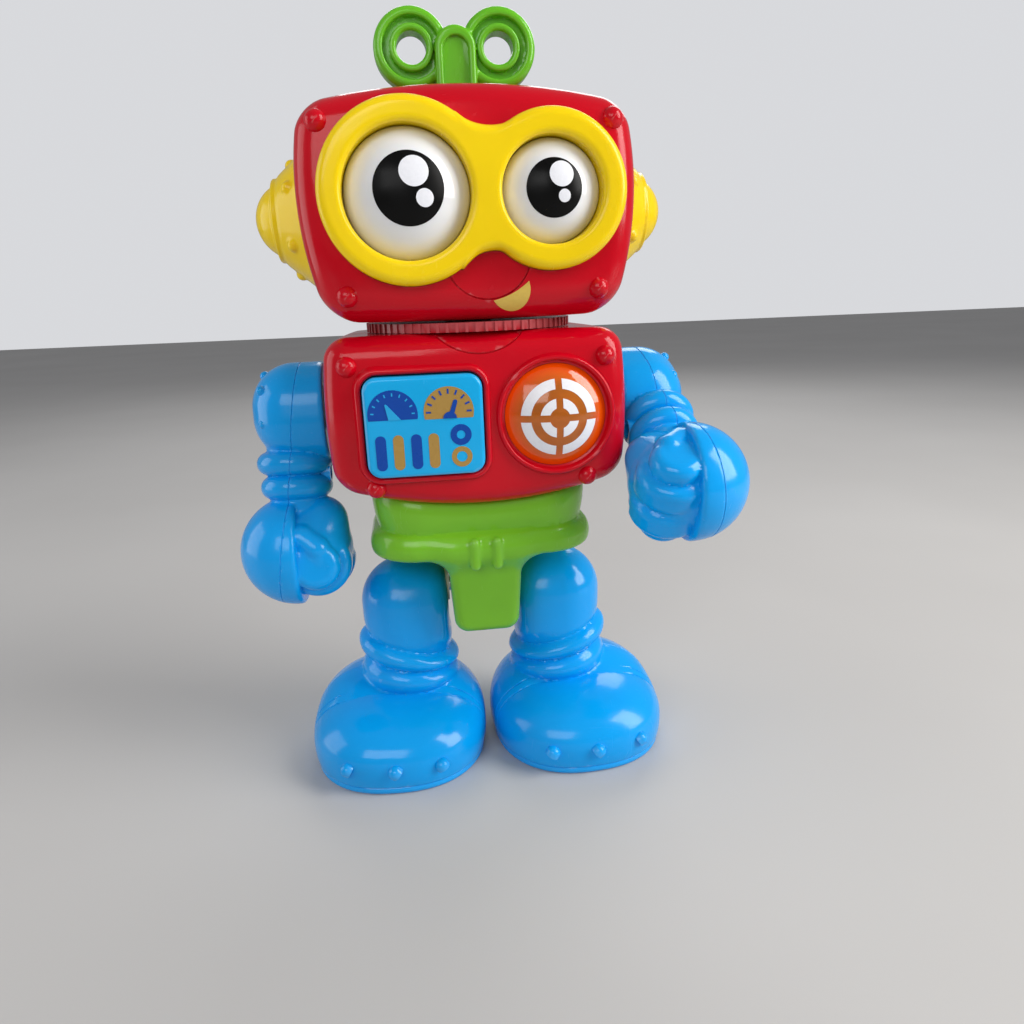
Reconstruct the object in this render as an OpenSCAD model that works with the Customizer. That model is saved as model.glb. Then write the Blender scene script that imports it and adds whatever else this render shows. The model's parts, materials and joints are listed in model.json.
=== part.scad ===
// Toy robot: a free-standing activity toy in moulded plastic, with a turning head, a clicking
// winding key, swinging arms and legs, a press button, a light behind a lens and a speaker.
// It stands on z = 0 with the origin below the middle of its overall box. It faces -Y; its left
// side is +X. Inside the modules y is measured from the neck axis, and placed() moves each part.

/* [Heights above the floor] */
// Height of the hip axle
hip_z = 70; // [69.5:0.5:70.5]
// Height where the pelvis meets the torso
waist_z = 115.4; // [115:0.2:115.8]
// Height of the shoulder axles
shoulder_z = 149; // [148:0.5:150]
// Height of the top of the torso
torso_top_z = 176.8; // [176.4:0.2:177]
// Height of the underside of the head
head_bottom_z = 180.6; // [180.4:0.1:181]
// Height of the eye centres
eye_z = 221; // [220:0.5:222]
// Height of the ear centres
ear_z = 217.5; // [216:0.5:219]
// Height of the crown of the head
head_top_z = 254.2; // [253.5:0.1:255]
// Height of the key's ring centres
key_z = 273.6; // [273:0.2:275]

/* [Head] */
// Half width of the head at its widest
head_half_w = 58; // [57.5:0.1:58.5]
// Distance from the neck axis to the middle of the face
head_front = 43.5; // [43:0.1:44]
// Distance from the neck axis to the back of the head
head_back = 38.5; // [37.5:0.5:40]
// Thickness of every moulded wall
wall = 2.4; // [2.2:0.1:2.5]

/* [Face] */
// Outer radius of the bezel around the right eye
bezel_right_r = 28.5; // [28.3:0.1:28.7]
// Outer radius of the bezel around the left eye
bezel_left_r = 24.8; // [24.6:0.1:25]
// How far the bezel stands in front of the neck axis
bezel_front = 48.5; // [47:0.5:50]
// Radius of the right eye
right_eye_r = 20.4; // [20:0.1:20.6]
// Radius of the left eye
left_eye_r = 16.5; // [16:0.1:16.7]

/* [Torso] */
// Half width of the torso at its widest
torso_half_w = 55.2; // [54.8:0.1:55.6]
// Distance from the neck axis to the middle of the chest
torso_front = 40; // [39.5:0.1:40.5]
// Distance from the neck axis to the flat back
torso_back = 34; // [34:0.1:34.5]
// Width of the control button
button_w = 42.4; // [42:0.1:42.6]
// Height of the control button
button_h = 36; // [35.6:0.1:36.2]
// Travel of the control button
button_travel = 1.8; // [1.2:0.1:1.8]
// Radius of the lens dome
lens_r = 18.4; // [18:0.1:18.6]

/* [Arms] */
// Radius of the shoulder
shoulder_r = 17; // [16.8:0.1:17.2]
// Radius of the fist
fist_r = 21.8; // [21.5:0.1:22]
// Forward swing of the right arm at rest
right_arm_swing = 10; // [0:1:20]
// Forward swing of the left arm at rest
left_arm_swing = 60; // [40:1:65]

/* [Legs] */
// Distance of each leg's centre line from the middle
leg_x = 32.6; // [32.4:0.1:32.8]
// Radius of the rounded upper leg
leg_r = 18.7; // [18.5:0.1:18.8]
// Length of the boot
boot_l = 80; // [78:1:82]
// Half width of the boot
boot_half_w = 37; // [36.5:0.1:37]
// Outward turn of each boot
toe_out = 3.5; // [2:0.5:4]

/* [Hidden] */
$fn = 48;
reach = 150;
arc_steps = 5;
run_gap = 0.05;
rest_gap = 0.02;
seat_gap = 0.15;
box_middle_y = -15.8;
button_x = -20.15;
button_z = 145.6;
lens_x = 27;
lens_z = 146.5;
right_eye_x = -20.8;
left_eye_x = 26.3;
board_y = -18;
axle_r = 3;
shoulder_axle_r = 9;
arm_x = 71.6;
arm_seam_x = 70.8;
arm_inner_x = 59;
hip_gap_x = 14.2;
sole_t = 3.4;
door_x = -15;
door_z = 141;
door_w = 50;
door_h = 32;
door_screw_x = door_x - 20.5;
button_back_y = -33.4;
button_flange = 1.4;
board_post_x = 6.2;
board_post_zs = [133.8, 160.6];
speaker_x = 28.5;
speaker_z = 143;
collar_r = 39.4;
collar_neck_r = 25;
key_ring_x = 15.5;
key_ring_r = 13.3;
mark_depth = 0.45;

// ---- Outlines -------------------------------------------------------------------------------

function unit(v) = v / norm(v);

// Arc of radius r that rounds corner b between its neighbours a and c
function corner_arc(a, b, c, r) =
    let (
        u = unit(a - b),
        v = unit(c - b),
        half = acos(u * v) / 2,
        centre = b + unit(u + v) * r / sin(half),
        p = b + u * r / tan(half) - centre,
        q = b + v * r / tan(half) - centre,
        start = atan2(p.y, p.x),
        turn = atan2(p.x * q.y - p.y * q.x, p * q)
    )
    [for (i = [0:arc_steps])
        centre + r * [cos(start + turn * i / arc_steps), sin(start + turn * i / arc_steps)]];

// Outline through corners given as [x, y, radius]
function rounded(corners) =
    let (n = len(corners))
    [for (i = [0:n - 1])
        let (
            before = corners[(i + n - 1) % n],
            here = corners[i],
            after = corners[(i + 1) % n]
        )
        each corner_arc([before.x, before.y], [here.x, here.y], [after.x, after.y], here.z)];

// The same corners moved towards a middle point by t, for the inside of a wall
function inset(corners, middle, t) =
    [for (c = corners)
        [c.x - t * sign(c.x - middle.x), c.y - t * sign(c.y - middle.y), max(c.z - t, 0.8)]];

// Corners of the +X half, followed by the mirror images of those off the middle, in reverse order
function both_sides(half) =
    concat(half, [for (i = [len(half) - 1:-1:0]) if (half[i].x > 0) [-half[i].x, half[i].y, half[i].z]]);

// Block whose front, side and plan views are the three outlines
module carved(front, side, plan) {
    intersection() {
        translate([0, reach, 0]) rotate([90, 0, 0]) linear_extrude(2 * reach) polygon(rounded(front));
        translate([-reach, 0, 0]) rotate([90, 0, 90]) linear_extrude(2 * reach) polygon(rounded(side));
        translate([0, 0, -reach]) linear_extrude(3 * reach) polygon(rounded(plan));
    }
}

// Flat shape drawn in the front view and given depth from y0 (front) to y1 (back)
module from_front(y0, y1) {
    translate([0, y1, 0]) rotate([90, 0, 0]) linear_extrude(y1 - y0) children();
}

// Turns a shape built along +Z so that it points forward (-Y) from x, y, z
module forward_at(x, y, z) {
    translate([x, y, z]) rotate([90, 0, 0]) children();
}

// Moves a part so that y = 0 is the middle of the whole robot's depth
module placed() {
    translate([0, -box_middle_y, 0]) children();
}

// Domed rivet whose sphere's centre is at x, y, z, with its back cut off inside the wall
module rivet(x, y, z) {
    forward_at(x, y, z) intersection() {
        sphere(r = 3.5);
        translate([0, 0, -0.8]) cylinder(r = 4, h = 5);
    }
}

// Everything in front of, or behind, the plane y = at
module front_half(at = 0) {
    translate([-reach, at - reach, 0]) cube([2 * reach, reach, 2 * reach]);
}

module rear_half(at = 0) {
    translate([-reach, at, 0]) cube([2 * reach, reach, 2 * reach]);
}

// Shows children as drawn for the left side, or mirrored for the right side
module on_side(side) {
    mirror([side < 0 ? 1 : 0, 0, 0]) children();
}

// ---- Screws and the posts they hold ---------------------------------------------------------

screw_r = 1.3;
screw_head_r = 2.8;
screw_head_h = 2;
post_r = 3.4;
well_r = 4.4;

// Screw along -Y whose head rests on y and whose thread ends l in front of it
module screw_in(x, y, z, l) {
    forward_at(x, y + screw_head_h, z) {
        cylinder(r = screw_head_r, h = screw_head_h - rest_gap);
        cylinder(r = screw_r, h = screw_head_h + l);
    }
}

// Post of the front shell, from the wall at y0 back to the seam
module front_post(x, z, y0) {
    forward_at(x, 0, z) cylinder(r = post_r, h = -y0);
}

// Hole in a front post for the screw's thread
module pilot(x, z, l) {
    forward_at(x, 0.01, z) cylinder(r = screw_r + 0.02, h = l);
}

// Post of the rear shell, from the seam back to the wall at y1
module rear_post(x, z, y1) {
    forward_at(x, y1, z) cylinder(r = well_r, h = y1);
}

// Well for the screw's head, open to the back, and the hole for its shank
module screw_well(x, z, y_head) {
    forward_at(x, y_head + 40, z) cylinder(r = screw_head_r + 0.3, h = 40);
    forward_at(x, y_head + 1, z) cylinder(r = screw_r + 0.2, h = y_head + 2);
}

// ---- Head -----------------------------------------------------------------------------------

head_middle = [0, 217];
head_front_view = both_sides([
    [0, head_top_z, 300], [head_half_w - 2.5, head_top_z - 4.6, 9],
    [head_half_w, 222, 60], [51.5, head_bottom_z, 12]
]);
head_side_view = [
    [-head_front + 2.5, head_top_z - 0.8, 10], [-head_front, 217, 150],
    [-head_front + 3.5, head_bottom_z, 9], [head_back - 2.5, head_bottom_z, 12],
    [head_back, 217, 150], [head_back - 2.5, head_top_z - 0.8, 14]
];
head_plan = both_sides([
    [0, -head_front - 0.5, 400], [head_half_w, -head_front + 3, 10], [head_half_w, head_back, 16]
]);
head_screw_spots = [[-36, 244.5], [36, 244.5], [-40, 189], [40, 189]];
rivet_spots = [[47.7, 243.2], [42.8, 190]];
eye_peg_x = 46.5;
eye_peg_dz = 20.5;
eye_back_y = -37.9;
eye_plate_y = -35.9;

module head_outer() {
    carved(head_front_view, head_side_view, head_plan);
}

module head_inner() {
    carved(
        inset(head_front_view, head_middle, wall),
        inset(head_side_view, [0, 217], wall),
        inset(head_plan, [0, 0], wall)
    );
}

// The ear as a plain solid, grown by gap, for the hole it sits in
module ear_plug(gap) {
    translate([0, 0, ear_z]) rotate([0, 90, 0]) rotate_extrude() polygon([
        [0, 50], [25.8 + gap, 50], [25.8 + gap, 54], [14 + gap, 68], [0, 68]
    ]);
}

module head_openings() {
    for (side = [-1, 1]) on_side(side) ear_plug(seat_gap);
    translate([0, 0, head_top_z - 8]) cylinder(r = key_shaft_r + run_gap, h = 12);
    translate([0, 0, head_bottom_z - 1]) cylinder(r = 5.1, h = 5);
}

// What is cut away to sink the round part of a front face inside radius r by mark_depth;
// the child is the body that has the face
module sunk_disc(x, z, r) {
    difference() {
        from_front(-60, -30) translate([x, z]) circle(r = r);
        translate([0, mark_depth, 0]) children();
    }
}

module head_shell() {
    difference() {
        head_outer();
        head_inner();
        head_openings();
        sunk_disc(4.5, 202.2, 14.7) head_outer();
    }
}

module head_front_shell() {
    color("red") placed() {
        difference() {
            union() {
                intersection() {
                    head_shell();
                    front_half();
                }
                for (s = head_screw_spots) front_post(s.x, s.y, -head_front + 3.4);
                for (x = [-eye_peg_x, eye_peg_x], dz = [-eye_peg_dz, eye_peg_dz])
                    forward_at(x, eye_plate_y, eye_z + dz) cylinder(r = 2.4, h = 5);
            }
            from_front(-60, -30) bezel_outline(seat_gap);
            for (s = head_screw_spots) pilot(s.x, s.y, 16);
        }
        for (side = [-1, 1], s = rivet_spots) rivet(side * s.x, -head_front + 3.6, s.y);
    }
}

module head_rear_shell() {
    color("red") placed() difference() {
        union() {
            intersection() {
                head_shell();
                rear_half();
            }
            for (s = head_screw_spots) rear_post(s.x, s.y, head_back - 3);
            translate([-4, 22, ratchet_z - 12.2]) cube([8, head_back - 23.5, 4]);
        }
        for (s = head_screw_spots) screw_well(s.x, s.y, 22);
    }
}

module head_screws() {
    color("silver") placed() for (s = head_screw_spots) screw_in(s.x, 22, s.y, 35);
}

// Outline of the two joined goggle rims, grown by gap
module bezel_outline(gap) {
    fillet_x = 6.8;
    top_r = 18;
    low_r = 13;
    translate([right_eye_x, eye_z]) circle(r = bezel_right_r + gap);
    translate([left_eye_x, eye_z]) circle(r = bezel_left_r + gap);
    difference() {
        translate([-6, eye_z - 20]) square([24, 42]);
        translate([fillet_x, eye_z + 19.4 + top_r]) circle(r = top_r - gap);
        translate([fillet_x, eye_z - 18 - low_r]) circle(r = low_r - gap);
    }
}

module goggle_bezel() {
    color("gold") placed() difference() {
        union() {
            from_front(-bezel_front + 2, -38.1) bezel_outline(0);
            from_front(-bezel_front, -bezel_front + 2.1) bezel_outline(-1.6);
        }
        forward_at(right_eye_x, -30, eye_z) cylinder(r = right_eye_r + 0.5, h = 30);
        forward_at(left_eye_x, -30, eye_z) cylinder(r = left_eye_r + 0.4, h = 30);
    }
}

// Hollow dome of radius r whose crown is at y = -crown, with a flange behind the bezel
module eye(x, r, crown) {
    rise = crown - 41;
    dome_r = (r * r + rise * rise) / (2 * rise);
    depth = crown + eye_back_y;
    flange_t = 1.6;
    color("white") placed() forward_at(x, eye_back_y, eye_z) difference() {
        union() {
            intersection() {
                translate([0, 0, depth - dome_r]) sphere(r = dome_r, $fn = 96);
                cylinder(r = r, h = depth + 1);
            }
            translate([0, 0, -flange_t]) cylinder(r = r + 2.4, h = flange_t);
        }
        translate([0, 0, -flange_t - 1]) cylinder(r = r - wall, h = flange_t + 3);
        intersection() {
            translate([0, 0, depth - dome_r]) sphere(r = dome_r - wall, $fn = 96);
            cylinder(r = r - wall, h = depth);
        }
    }
}

module eye_plate() {
    color("ivory") placed() difference() {
        from_front(eye_plate_y + 0.05, eye_plate_y + 1.8) translate([-50, 197.6]) square([100, 43.2]);
        forward_at(right_eye_x, 0, eye_z) cylinder(r = 14, h = 60);
        forward_at(left_eye_x, 0, eye_z) cylinder(r = 11, h = 60);
    }
}

module ear(side) {
    color("yellow") placed() on_side(side) translate([0, 0, ear_z]) rotate([0, 90, 0]) difference() {
        union() {
            rotate_extrude() polygon([
                [0, 50], [25.8, 50], [25.8, 54], [14, 68], [0, 68]
            ]);
            translate([0, 0, 62.4]) sphere(r = 13.6);
            for (a = [30:60:330]) rotate([0, 0, a]) translate([18.5, 0, 61.4]) sphere(r = 2);
        }
        translate([0, 0, 45]) cylinder(r = 23, h = 8.01);
        translate([0, 0, 53]) cylinder(r1 = 23, r2 = 12, h = 12);
        translate([0, 0, 62.4]) sphere(r = 11.4);
    }
}

// ---- Winding key, ratchet and click spring --------------------------------------------------

key_shaft_r = 6;
ratchet_z = 240;
tooth_count = 12;

module key_outline() {
    stem_half_w = 7.3;
    for (side = [-1, 1]) translate([side * key_ring_x, key_z]) circle(r = key_ring_r);
    translate([-stem_half_w, head_top_z + 0.6]) square([2 * stem_half_w, key_z - head_top_z]);
    translate([0, key_z - 0.4]) circle(r = stem_half_w);
}

module winding_key() {
    half_t = 4.5;
    color("limegreen") placed() difference() {
        union() {
            from_front(-half_t, half_t) key_outline();
            translate([0, 0, ratchet_z + 4]) cylinder(r = key_shaft_r, h = head_top_z + 0.7 - ratchet_z - 4);
        }
        for (side = [-1, 1]) {
            translate([side * key_ring_x, 0, key_z]) rotate([90, 0, 0])
                cylinder(r = 5.3, h = 20, center = true);
            for (face = [-1, 1]) translate([side * key_ring_x, face * half_t, key_z]) rotate([90, 0, 0])
                rotate_extrude() translate([7.5, -2]) square([2.8, 4]);
        }
        for (face = [-1, 1]) translate([-4.8, face * half_t - 1.2, head_top_z + 4]) cube([9.6, 2.4, 19]);
        translate([0, 0, ratchet_z - 1]) cylinder(r = screw_r + 0.02, h = 16);
    }
}

module key_ratchet() {
    color("ivory") placed() difference() {
        union() {
            translate([0, 0, ratchet_z - 2]) cylinder(r = 11, h = 6);
            for (i = [0:tooth_count - 1]) rotate([0, 0, i * 360 / tooth_count])
                translate([11, 0, ratchet_z - 2]) cylinder(r = 1.6, h = 6);
        }
        translate([0, 0, ratchet_z - 5]) cylinder(r = screw_r + 0.2, h = 12);
    }
}

module key_screw() {
    color("silver") placed() translate([0, 0, ratchet_z - 4]) {
        cylinder(r = 4, h = 2);
        cylinder(r = screw_r, h = 16);
    }
}

module click_spring() {
    color("silver") placed() {
        translate([-3, 12.8, ratchet_z - 7.8]) cube([6, 0.5, 9]);
        translate([-3, 12.8, ratchet_z - 8.2]) cube([6, 14, 0.5]);
    }
}

// ---- Neck -----------------------------------------------------------------------------------

post_bottom_z = torso_top_z - 8.6;

module neck_post() {
    color("ivory") placed() difference() {
        union() {
            translate([0, 0, post_bottom_z]) cylinder(r = 14, h = 2.9);
            translate([0, 0, post_bottom_z]) cylinder(r = 9, h = head_bottom_z - post_bottom_z);
            translate([0, 0, head_bottom_z - 1]) cylinder(r = 5, h = wall + 0.9);
        }
        translate([0, 0, post_bottom_z - 1]) cylinder(r = screw_r + 0.02, h = 20);
    }
}

module neck_screw() {
    color("silver") placed() {
        translate([0, 0, head_bottom_z + wall + 0.1]) cylinder(r = 10, h = 2);
        translate([0, 0, post_bottom_z + 3]) cylinder(r = screw_r, h = 13);
    }
}

module neck_collar() {
    rib_count = 72;
    color("firebrick") placed() difference() {
        union() {
            translate([0, 0, torso_top_z + 0.05]) cylinder(r = collar_r - 0.6, h = 3.2);
            translate([0, 0, torso_top_z - wall - 0.7]) cylinder(r = collar_neck_r, h = wall + 0.8);
            translate([0, 0, torso_top_z - wall - 3.2]) cylinder(r = collar_neck_r + 2.6, h = 2.6);
            for (i = [0:rib_count - 1]) rotate([0, 0, i * 360 / rib_count])
                translate([collar_r - 0.7, -0.5, torso_top_z + 0.05]) cube([0.7, 1, 3.2]);
        }
        translate([0, 0, torso_top_z - 10]) cylinder(r = 9 + run_gap, h = 20);
    }
}

// ---- Torso ----------------------------------------------------------------------------------

torso_middle = [0, 146];
torso_front_view = both_sides([
    [torso_half_w - 1, torso_top_z, 9], [torso_half_w, 141, 80], [torso_half_w - 2.8, waist_z, 12]
]);
torso_side_view = [
    [-torso_front + 1.6, torso_top_z, 8], [-torso_front, 147, 150],
    [-torso_front + 2.6, waist_z, 10], [torso_back, waist_z, 8], [torso_back, torso_top_z, 8]
];
torso_plan = both_sides([
    [0, -torso_front - 0.8, 400], [torso_half_w, -torso_front + 2, 10], [torso_half_w, torso_back, 12]
]);
torso_screw_spots = [[-38, 169.2], [38, 169.2], [-46.4, 127], [46.4, 127]];
torso_rivets = [[45.6, 166.7], [38.8, 123.1]];

module torso_outer() {
    carved(torso_front_view, torso_side_view, torso_plan);
}

module torso_inner() {
    carved(
        inset(torso_front_view, torso_middle, wall),
        inset(torso_side_view, torso_middle, wall),
        inset(torso_plan, [0, 0], wall)
    );
}

module torso_shell() {
    difference() {
        torso_outer();
        torso_inner();
        sunk_disc(0.9, 190.4, 21) torso_outer();
        translate([0, 0, torso_top_z - 5]) cylinder(r = collar_neck_r + seat_gap, h = 10);
        translate([-reach, 0, shoulder_z]) rotate([0, 90, 0])
            cylinder(r = shoulder_axle_r + run_gap, h = 2 * reach);
        for (x = pelvis_bolt_xs) translate([x, pelvis_bolt_y, waist_z - 2])
            cylinder(r = screw_r + 0.2, h = 8);
    }
}

module button_outline(grow) {
    r = 5;
    translate([button_x, button_z]) {
        square([button_w + 2 * grow, button_h + 2 * grow - 2 * r], center = true);
        square([button_w + 2 * grow - 2 * r, button_h + 2 * grow], center = true);
        for (sx = [-1, 1], sz = [-1, 1])
            translate([sx * (button_w / 2 + grow - r), sz * (button_h / 2 + grow - r)]) circle(r = r);
    }
}

module torso_front_shell() {
    color("red") placed() difference() {
        union() {
            intersection() {
                torso_shell();
                front_half();
            }
            from_front(-torso_front - 1.4, -torso_front + 2) button_outline(2.2);
            forward_at(lens_x, -torso_front + 2, lens_z) cylinder(r = lens_r + 2.2, h = 3);
            for (s = torso_screw_spots) front_post(s.x, s.y, -torso_front + 3);
            for (z = board_post_zs) forward_at(board_post_x, board_y, z) {
                cylinder(r = 2.1, h = torso_front + board_y - 1.5);
                translate([0, 0, -2.4]) cylinder(r = 1.2, h = 3);
            }
            for (side = [-1, 1], s = torso_rivets) rivet(side * s.x, -torso_front + 3.3, s.y);
        }
        from_front(-60, -30) button_outline(0.4);
        forward_at(lens_x, -30, lens_z) cylinder(r = lens_r + seat_gap, h = 30);
        for (s = torso_screw_spots) pilot(s.x, s.y, 16);
    }
}

module torso_rear_shell() {
    color("red") placed() difference() {
        union() {
            intersection() {
                torso_shell();
                rear_half();
            }
            for (s = torso_screw_spots) rear_post(s.x, s.y, torso_back - 1);
        }
        for (s = torso_screw_spots) screw_well(s.x, s.y, 22);
        translate([door_x - door_w / 2 - 0.2, 28, door_z - door_h / 2 - 0.2])
            cube([door_w + 0.4, 12, door_h + 0.4]);
        translate([speaker_x, 38, speaker_z]) rotate([90, 0, 0]) {
            cylinder(r = 0.9, h = 10);
            for (ring = [1, 2], i = [0:6 * ring - 1]) rotate([0, 0, i * 60 / ring])
                translate([4 * ring, 0, 0]) cylinder(r = 0.9, h = 10);
        }
        translate([-6, 28, 163.2]) cube([12, 10, 5]);
    }
}

module torso_screws() {
    color("silver") placed() for (s = torso_screw_spots) screw_in(s.x, 22, s.y, 35);
}

module control_button() {
    color("deepskyblue") placed() {
        from_front(-44.2, -35.2) button_outline(0);
        from_front(button_back_y - 2, button_back_y) button_outline(button_flange);
        forward_at(button_x, -24.6, button_z) cylinder(r = 3, h = 9);
    }
}

module button_switch() {
    color("dimgray") placed() {
        translate([button_x - 3, board_y - 3.5, button_z - 3]) cube([6, 3.5, 6]);
        forward_at(button_x, board_y - 3.4, button_z) cylinder(r = 1.6, h = 1.1);
    }
}

// Compression coil around the button's plunger, between the circuit board and the button.
// A level cut through a helical wire is an arc whose width follows the wire's round section.
module button_spring() {
    coil_r = 5.6;
    wire_r = 0.6;
    turns = 4;
    free_l = board_y - button_back_y - 0.2;
    lead = free_l / turns;
    half_arc = 360 * wire_r / lead;
    steps = 6;
    angles = [for (i = [-steps:steps]) half_arc * i / steps];
    half_widths = [for (a = angles) sqrt(max(wire_r * wire_r - pow(lead * a / 360, 2), 0.0004))];
    outer = [for (i = [0:2 * steps]) (coil_r + half_widths[i]) * [cos(angles[i]), sin(angles[i])]];
    inner = [for (i = [2 * steps:-1:0]) (coil_r - half_widths[i]) * [cos(angles[i]), sin(angles[i])]];
    color("silver") placed() forward_at(button_x, board_y - 0.1, button_z)
        linear_extrude(free_l, twist = -360 * turns, slices = 12 * turns) polygon(concat(outer, inner));
}

module lens_dome() {
    crown = 45.2;
    rise = 6.6;
    dome_r = (lens_r * lens_r + rise * rise) / (2 * rise);
    back = 35;
    color("darkorange") placed() forward_at(lens_x, -back, lens_z) difference() {
        union() {
            intersection() {
                translate([0, 0, crown - back - dome_r]) sphere(r = dome_r, $fn = 96);
                cylinder(r = lens_r, h = 20);
            }
            translate([0, 0, -1.6]) cylinder(r = lens_r + 1.5, h = 1.6);
        }
        translate([0, 0, -2]) cylinder(r = lens_r - 2, h = 4);
        intersection() {
            translate([0, 0, crown - back - dome_r]) sphere(r = dome_r - 2, $fn = 96);
            cylinder(r = lens_r - 2, h = 20);
        }
    }
}

module lens_leds() {
    color("white") placed() for (dx = [-6, 6]) forward_at(lens_x + dx, board_y, lens_z) {
        cylinder(r = 2.5, h = 5);
        translate([0, 0, 5]) sphere(r = 2.5);
    }
}

module circuit_board() {
    color("darkgreen") placed() difference() {
        translate([-43, board_y, 131.5]) cube([86, 1.6, 33]);
        for (z = board_post_zs) forward_at(board_post_x, 0, z) cylinder(r = 1.3, h = 40);
    }
}

module speaker() {
    color("dimgray") placed() forward_at(speaker_x, 31.4, speaker_z) {
        difference() {
            cylinder(r = 13.5, h = 5);
            translate([0, 0, -1]) cylinder(r = 11.5, h = 5);
        }
        translate([0, 0, 4.9]) cylinder(r = 7.5, h = 5);
    }
}

module speaker_cone() {
    color("black") placed() forward_at(speaker_x, 31, speaker_z) difference() {
        cylinder(r1 = 11.3, r2 = 4, h = 3.2);
        translate([0, 0, -0.01]) cylinder(r1 = 10.7, r2 = 3.4, h = 2.6);
    }
}

module battery_tray() {
    half_w = 26.8;
    half_h = 17.2;
    skin = 1.4;
    depth = torso_back - wall - 13.1;
    color("black") placed() difference() {
        union() {
            difference() {
                translate([door_x - half_w, 13, door_z - half_h]) cube([2 * half_w, depth, 2 * half_h]);
                translate([door_x - half_w + skin, 13 + skin, door_z - half_h + skin])
                    cube([2 * (half_w - skin), depth, 2 * (half_h - skin)]);
            }
            forward_at(door_screw_x, 31, door_z) cylinder(r = 2.7, h = 5.6);
            translate([door_x - half_w + 0.1, 25.4, door_z - 1.5]) cube([6, 5.6, 3]);
        }
        forward_at(door_screw_x, 40, door_z) cylinder(r = screw_r + 0.02, h = 13.6);
    }
}

cell_r = 5;
cell_l = 44.5;

module batteries() {
    color("dimgray") placed() for (row = [-1, 0, 1]) {
        flip = row == 0 ? 180 : 0;
        translate([door_x, 20, door_z + row * 10.2]) rotate([0, 90, flip]) {
            translate([0, 0, -cell_l / 2]) cylinder(r = cell_r, h = cell_l - 1);
            translate([0, 0, cell_l / 2 - 1.1]) cylinder(r = 1.9, h = 1.1);
        }
    }
}

module battery_contacts() {
    color("silver") placed() for (side = [-1, 1], row = [-1, 0, 1])
        translate([door_x + side * 23.4 - 0.3, 16, door_z + row * 10.2 - 3.5]) cube([0.6, 8, 7]);
}

module battery_door() {
    color("red") placed() difference() {
        union() {
            translate([door_x - door_w / 2, torso_back - 2.4, door_z - door_h / 2])
                cube([door_w, 2.4, door_h]);
            for (i = [-2:2]) translate([door_x + 8 + i * 2.4, torso_back - 0.2, door_z - 5])
                cube([1.2, 0.6, 10]);
        }
        forward_at(door_screw_x, 40, door_z) cylinder(r = screw_r + 0.02, h = 20);
        forward_at(door_screw_x, 40, door_z) cylinder(r = screw_head_r + 0.1, h = 7.2);
    }
}

module door_screw() {
    color("silver") placed() forward_at(door_screw_x, 32.8, door_z) {
        translate([0, 0, -1]) cylinder(r = screw_head_r, h = 1);
        cylinder(r = screw_r, h = 5);
    }
}

module slide_switch() {
    color("dimgray") placed() translate([-7, 25, 162.6]) cube([14, 5, 6.2]);
}

module switch_knob() {
    color("black") placed() {
        translate([-4.2, 30.1, 163.9]) cube([4.4, 5.2, 3.6]);
        translate([-4.6, 30.1, 163.5]) cube([5.2, 1.2, 4.4]);
    }
}

// Pair of straight leads from the circuit board back to y_end
module lead_pair(x, y_end, z) {
    start_y = board_y + 1.7;
    for (dx = [-1.5, 1.5]) forward_at(x + dx, y_end, z) cylinder(r = 0.6, h = y_end - start_y);
}

module wires() {
    color("crimson") placed() {
        lead_pair(speaker_x, 21.4, 140);
        lead_pair(-28, 12.9, 150);
        lead_pair(0, 24.9, 163.5);
    }
}

// ---- Arms -----------------------------------------------------------------------------------

// Arm built hanging straight down on the left, then swung forward about the shoulder axle
module swung(side, swing) {
    on_side(side) translate([0, 0, shoulder_z]) rotate([-swing, 0, 0]) children();
}

// Puffed ring around the vertical, with its middle at z
module puffed_ring(r, half_h, z) {
    translate([0, 0, z]) {
        rotate_extrude() translate([r - half_h, 0]) circle(r = half_h);
        translate([0, 0, -half_h]) cylinder(r = r - half_h, h = 2 * half_h);
    }
}

// The arm's form, with t taken off every surface
module arm_form(t) {
    rotate([0, 90, 0]) {
        translate([0, 0, arm_inner_x + t]) cylinder(r = shoulder_r - t, h = 12 - t);
        translate([0, 0, 70]) sphere(r = shoulder_r - t - 0.1);
    }
    translate([arm_x, 0, 0]) {
        puffed_ring(14.5 - t, 4.6 - t / 2, -21.5);
        puffed_ring(13.8 - t, 4.6 - t / 2, -31);
        translate([0, 0, -45]) cylinder(r = 11 - t, h = 38);
    }
    translate([arm_x + 2, 0, -56.8]) sphere(r = fist_r - t);
    for (i = [0:2]) translate([arm_x - 13, -10 + 6.4 * i, -66 + i]) sphere(r = 7.6 - t);
    translate([arm_x - 14, -13, -50]) sphere(r = 7.8 - t);
}

module arm_shell() {
    difference() {
        arm_form(0);
        arm_form(2);
    }
}

// Arm screws, along the shoulder axle's direction, as [y, z] from the shoulder; the first one
// goes through the axle
arm_screw_spots = [[0, 0], [0, -26], [8, -58]];
arm_head_xs = [61, 66.4, 66.4];

module outward(x, spot) {
    translate([x, spot.x, spot.y]) rotate([0, 90, 0]) children();
}

module arm_outer_shell(side, swing) {
    color("dodgerblue") placed() swung(side, swing) {
        difference() {
            union() {
                intersection() {
                    arm_shell();
                    translate([arm_seam_x, -reach, -reach]) cube(2 * reach);
                }
                intersection() {
                    for (s = arm_screw_spots) outward(arm_seam_x, s) cylinder(r = post_r, h = 26);
                    arm_form(1);
                }
            }
            for (s = arm_screw_spots) outward(arm_seam_x - 1, s) cylinder(r = screw_r + 0.02, h = 9);
        }
        for (a = [0:60:300]) rotate([a, 0, 0]) translate([81.2, 0, 12.4]) sphere(r = 1.6);
    }
}

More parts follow.
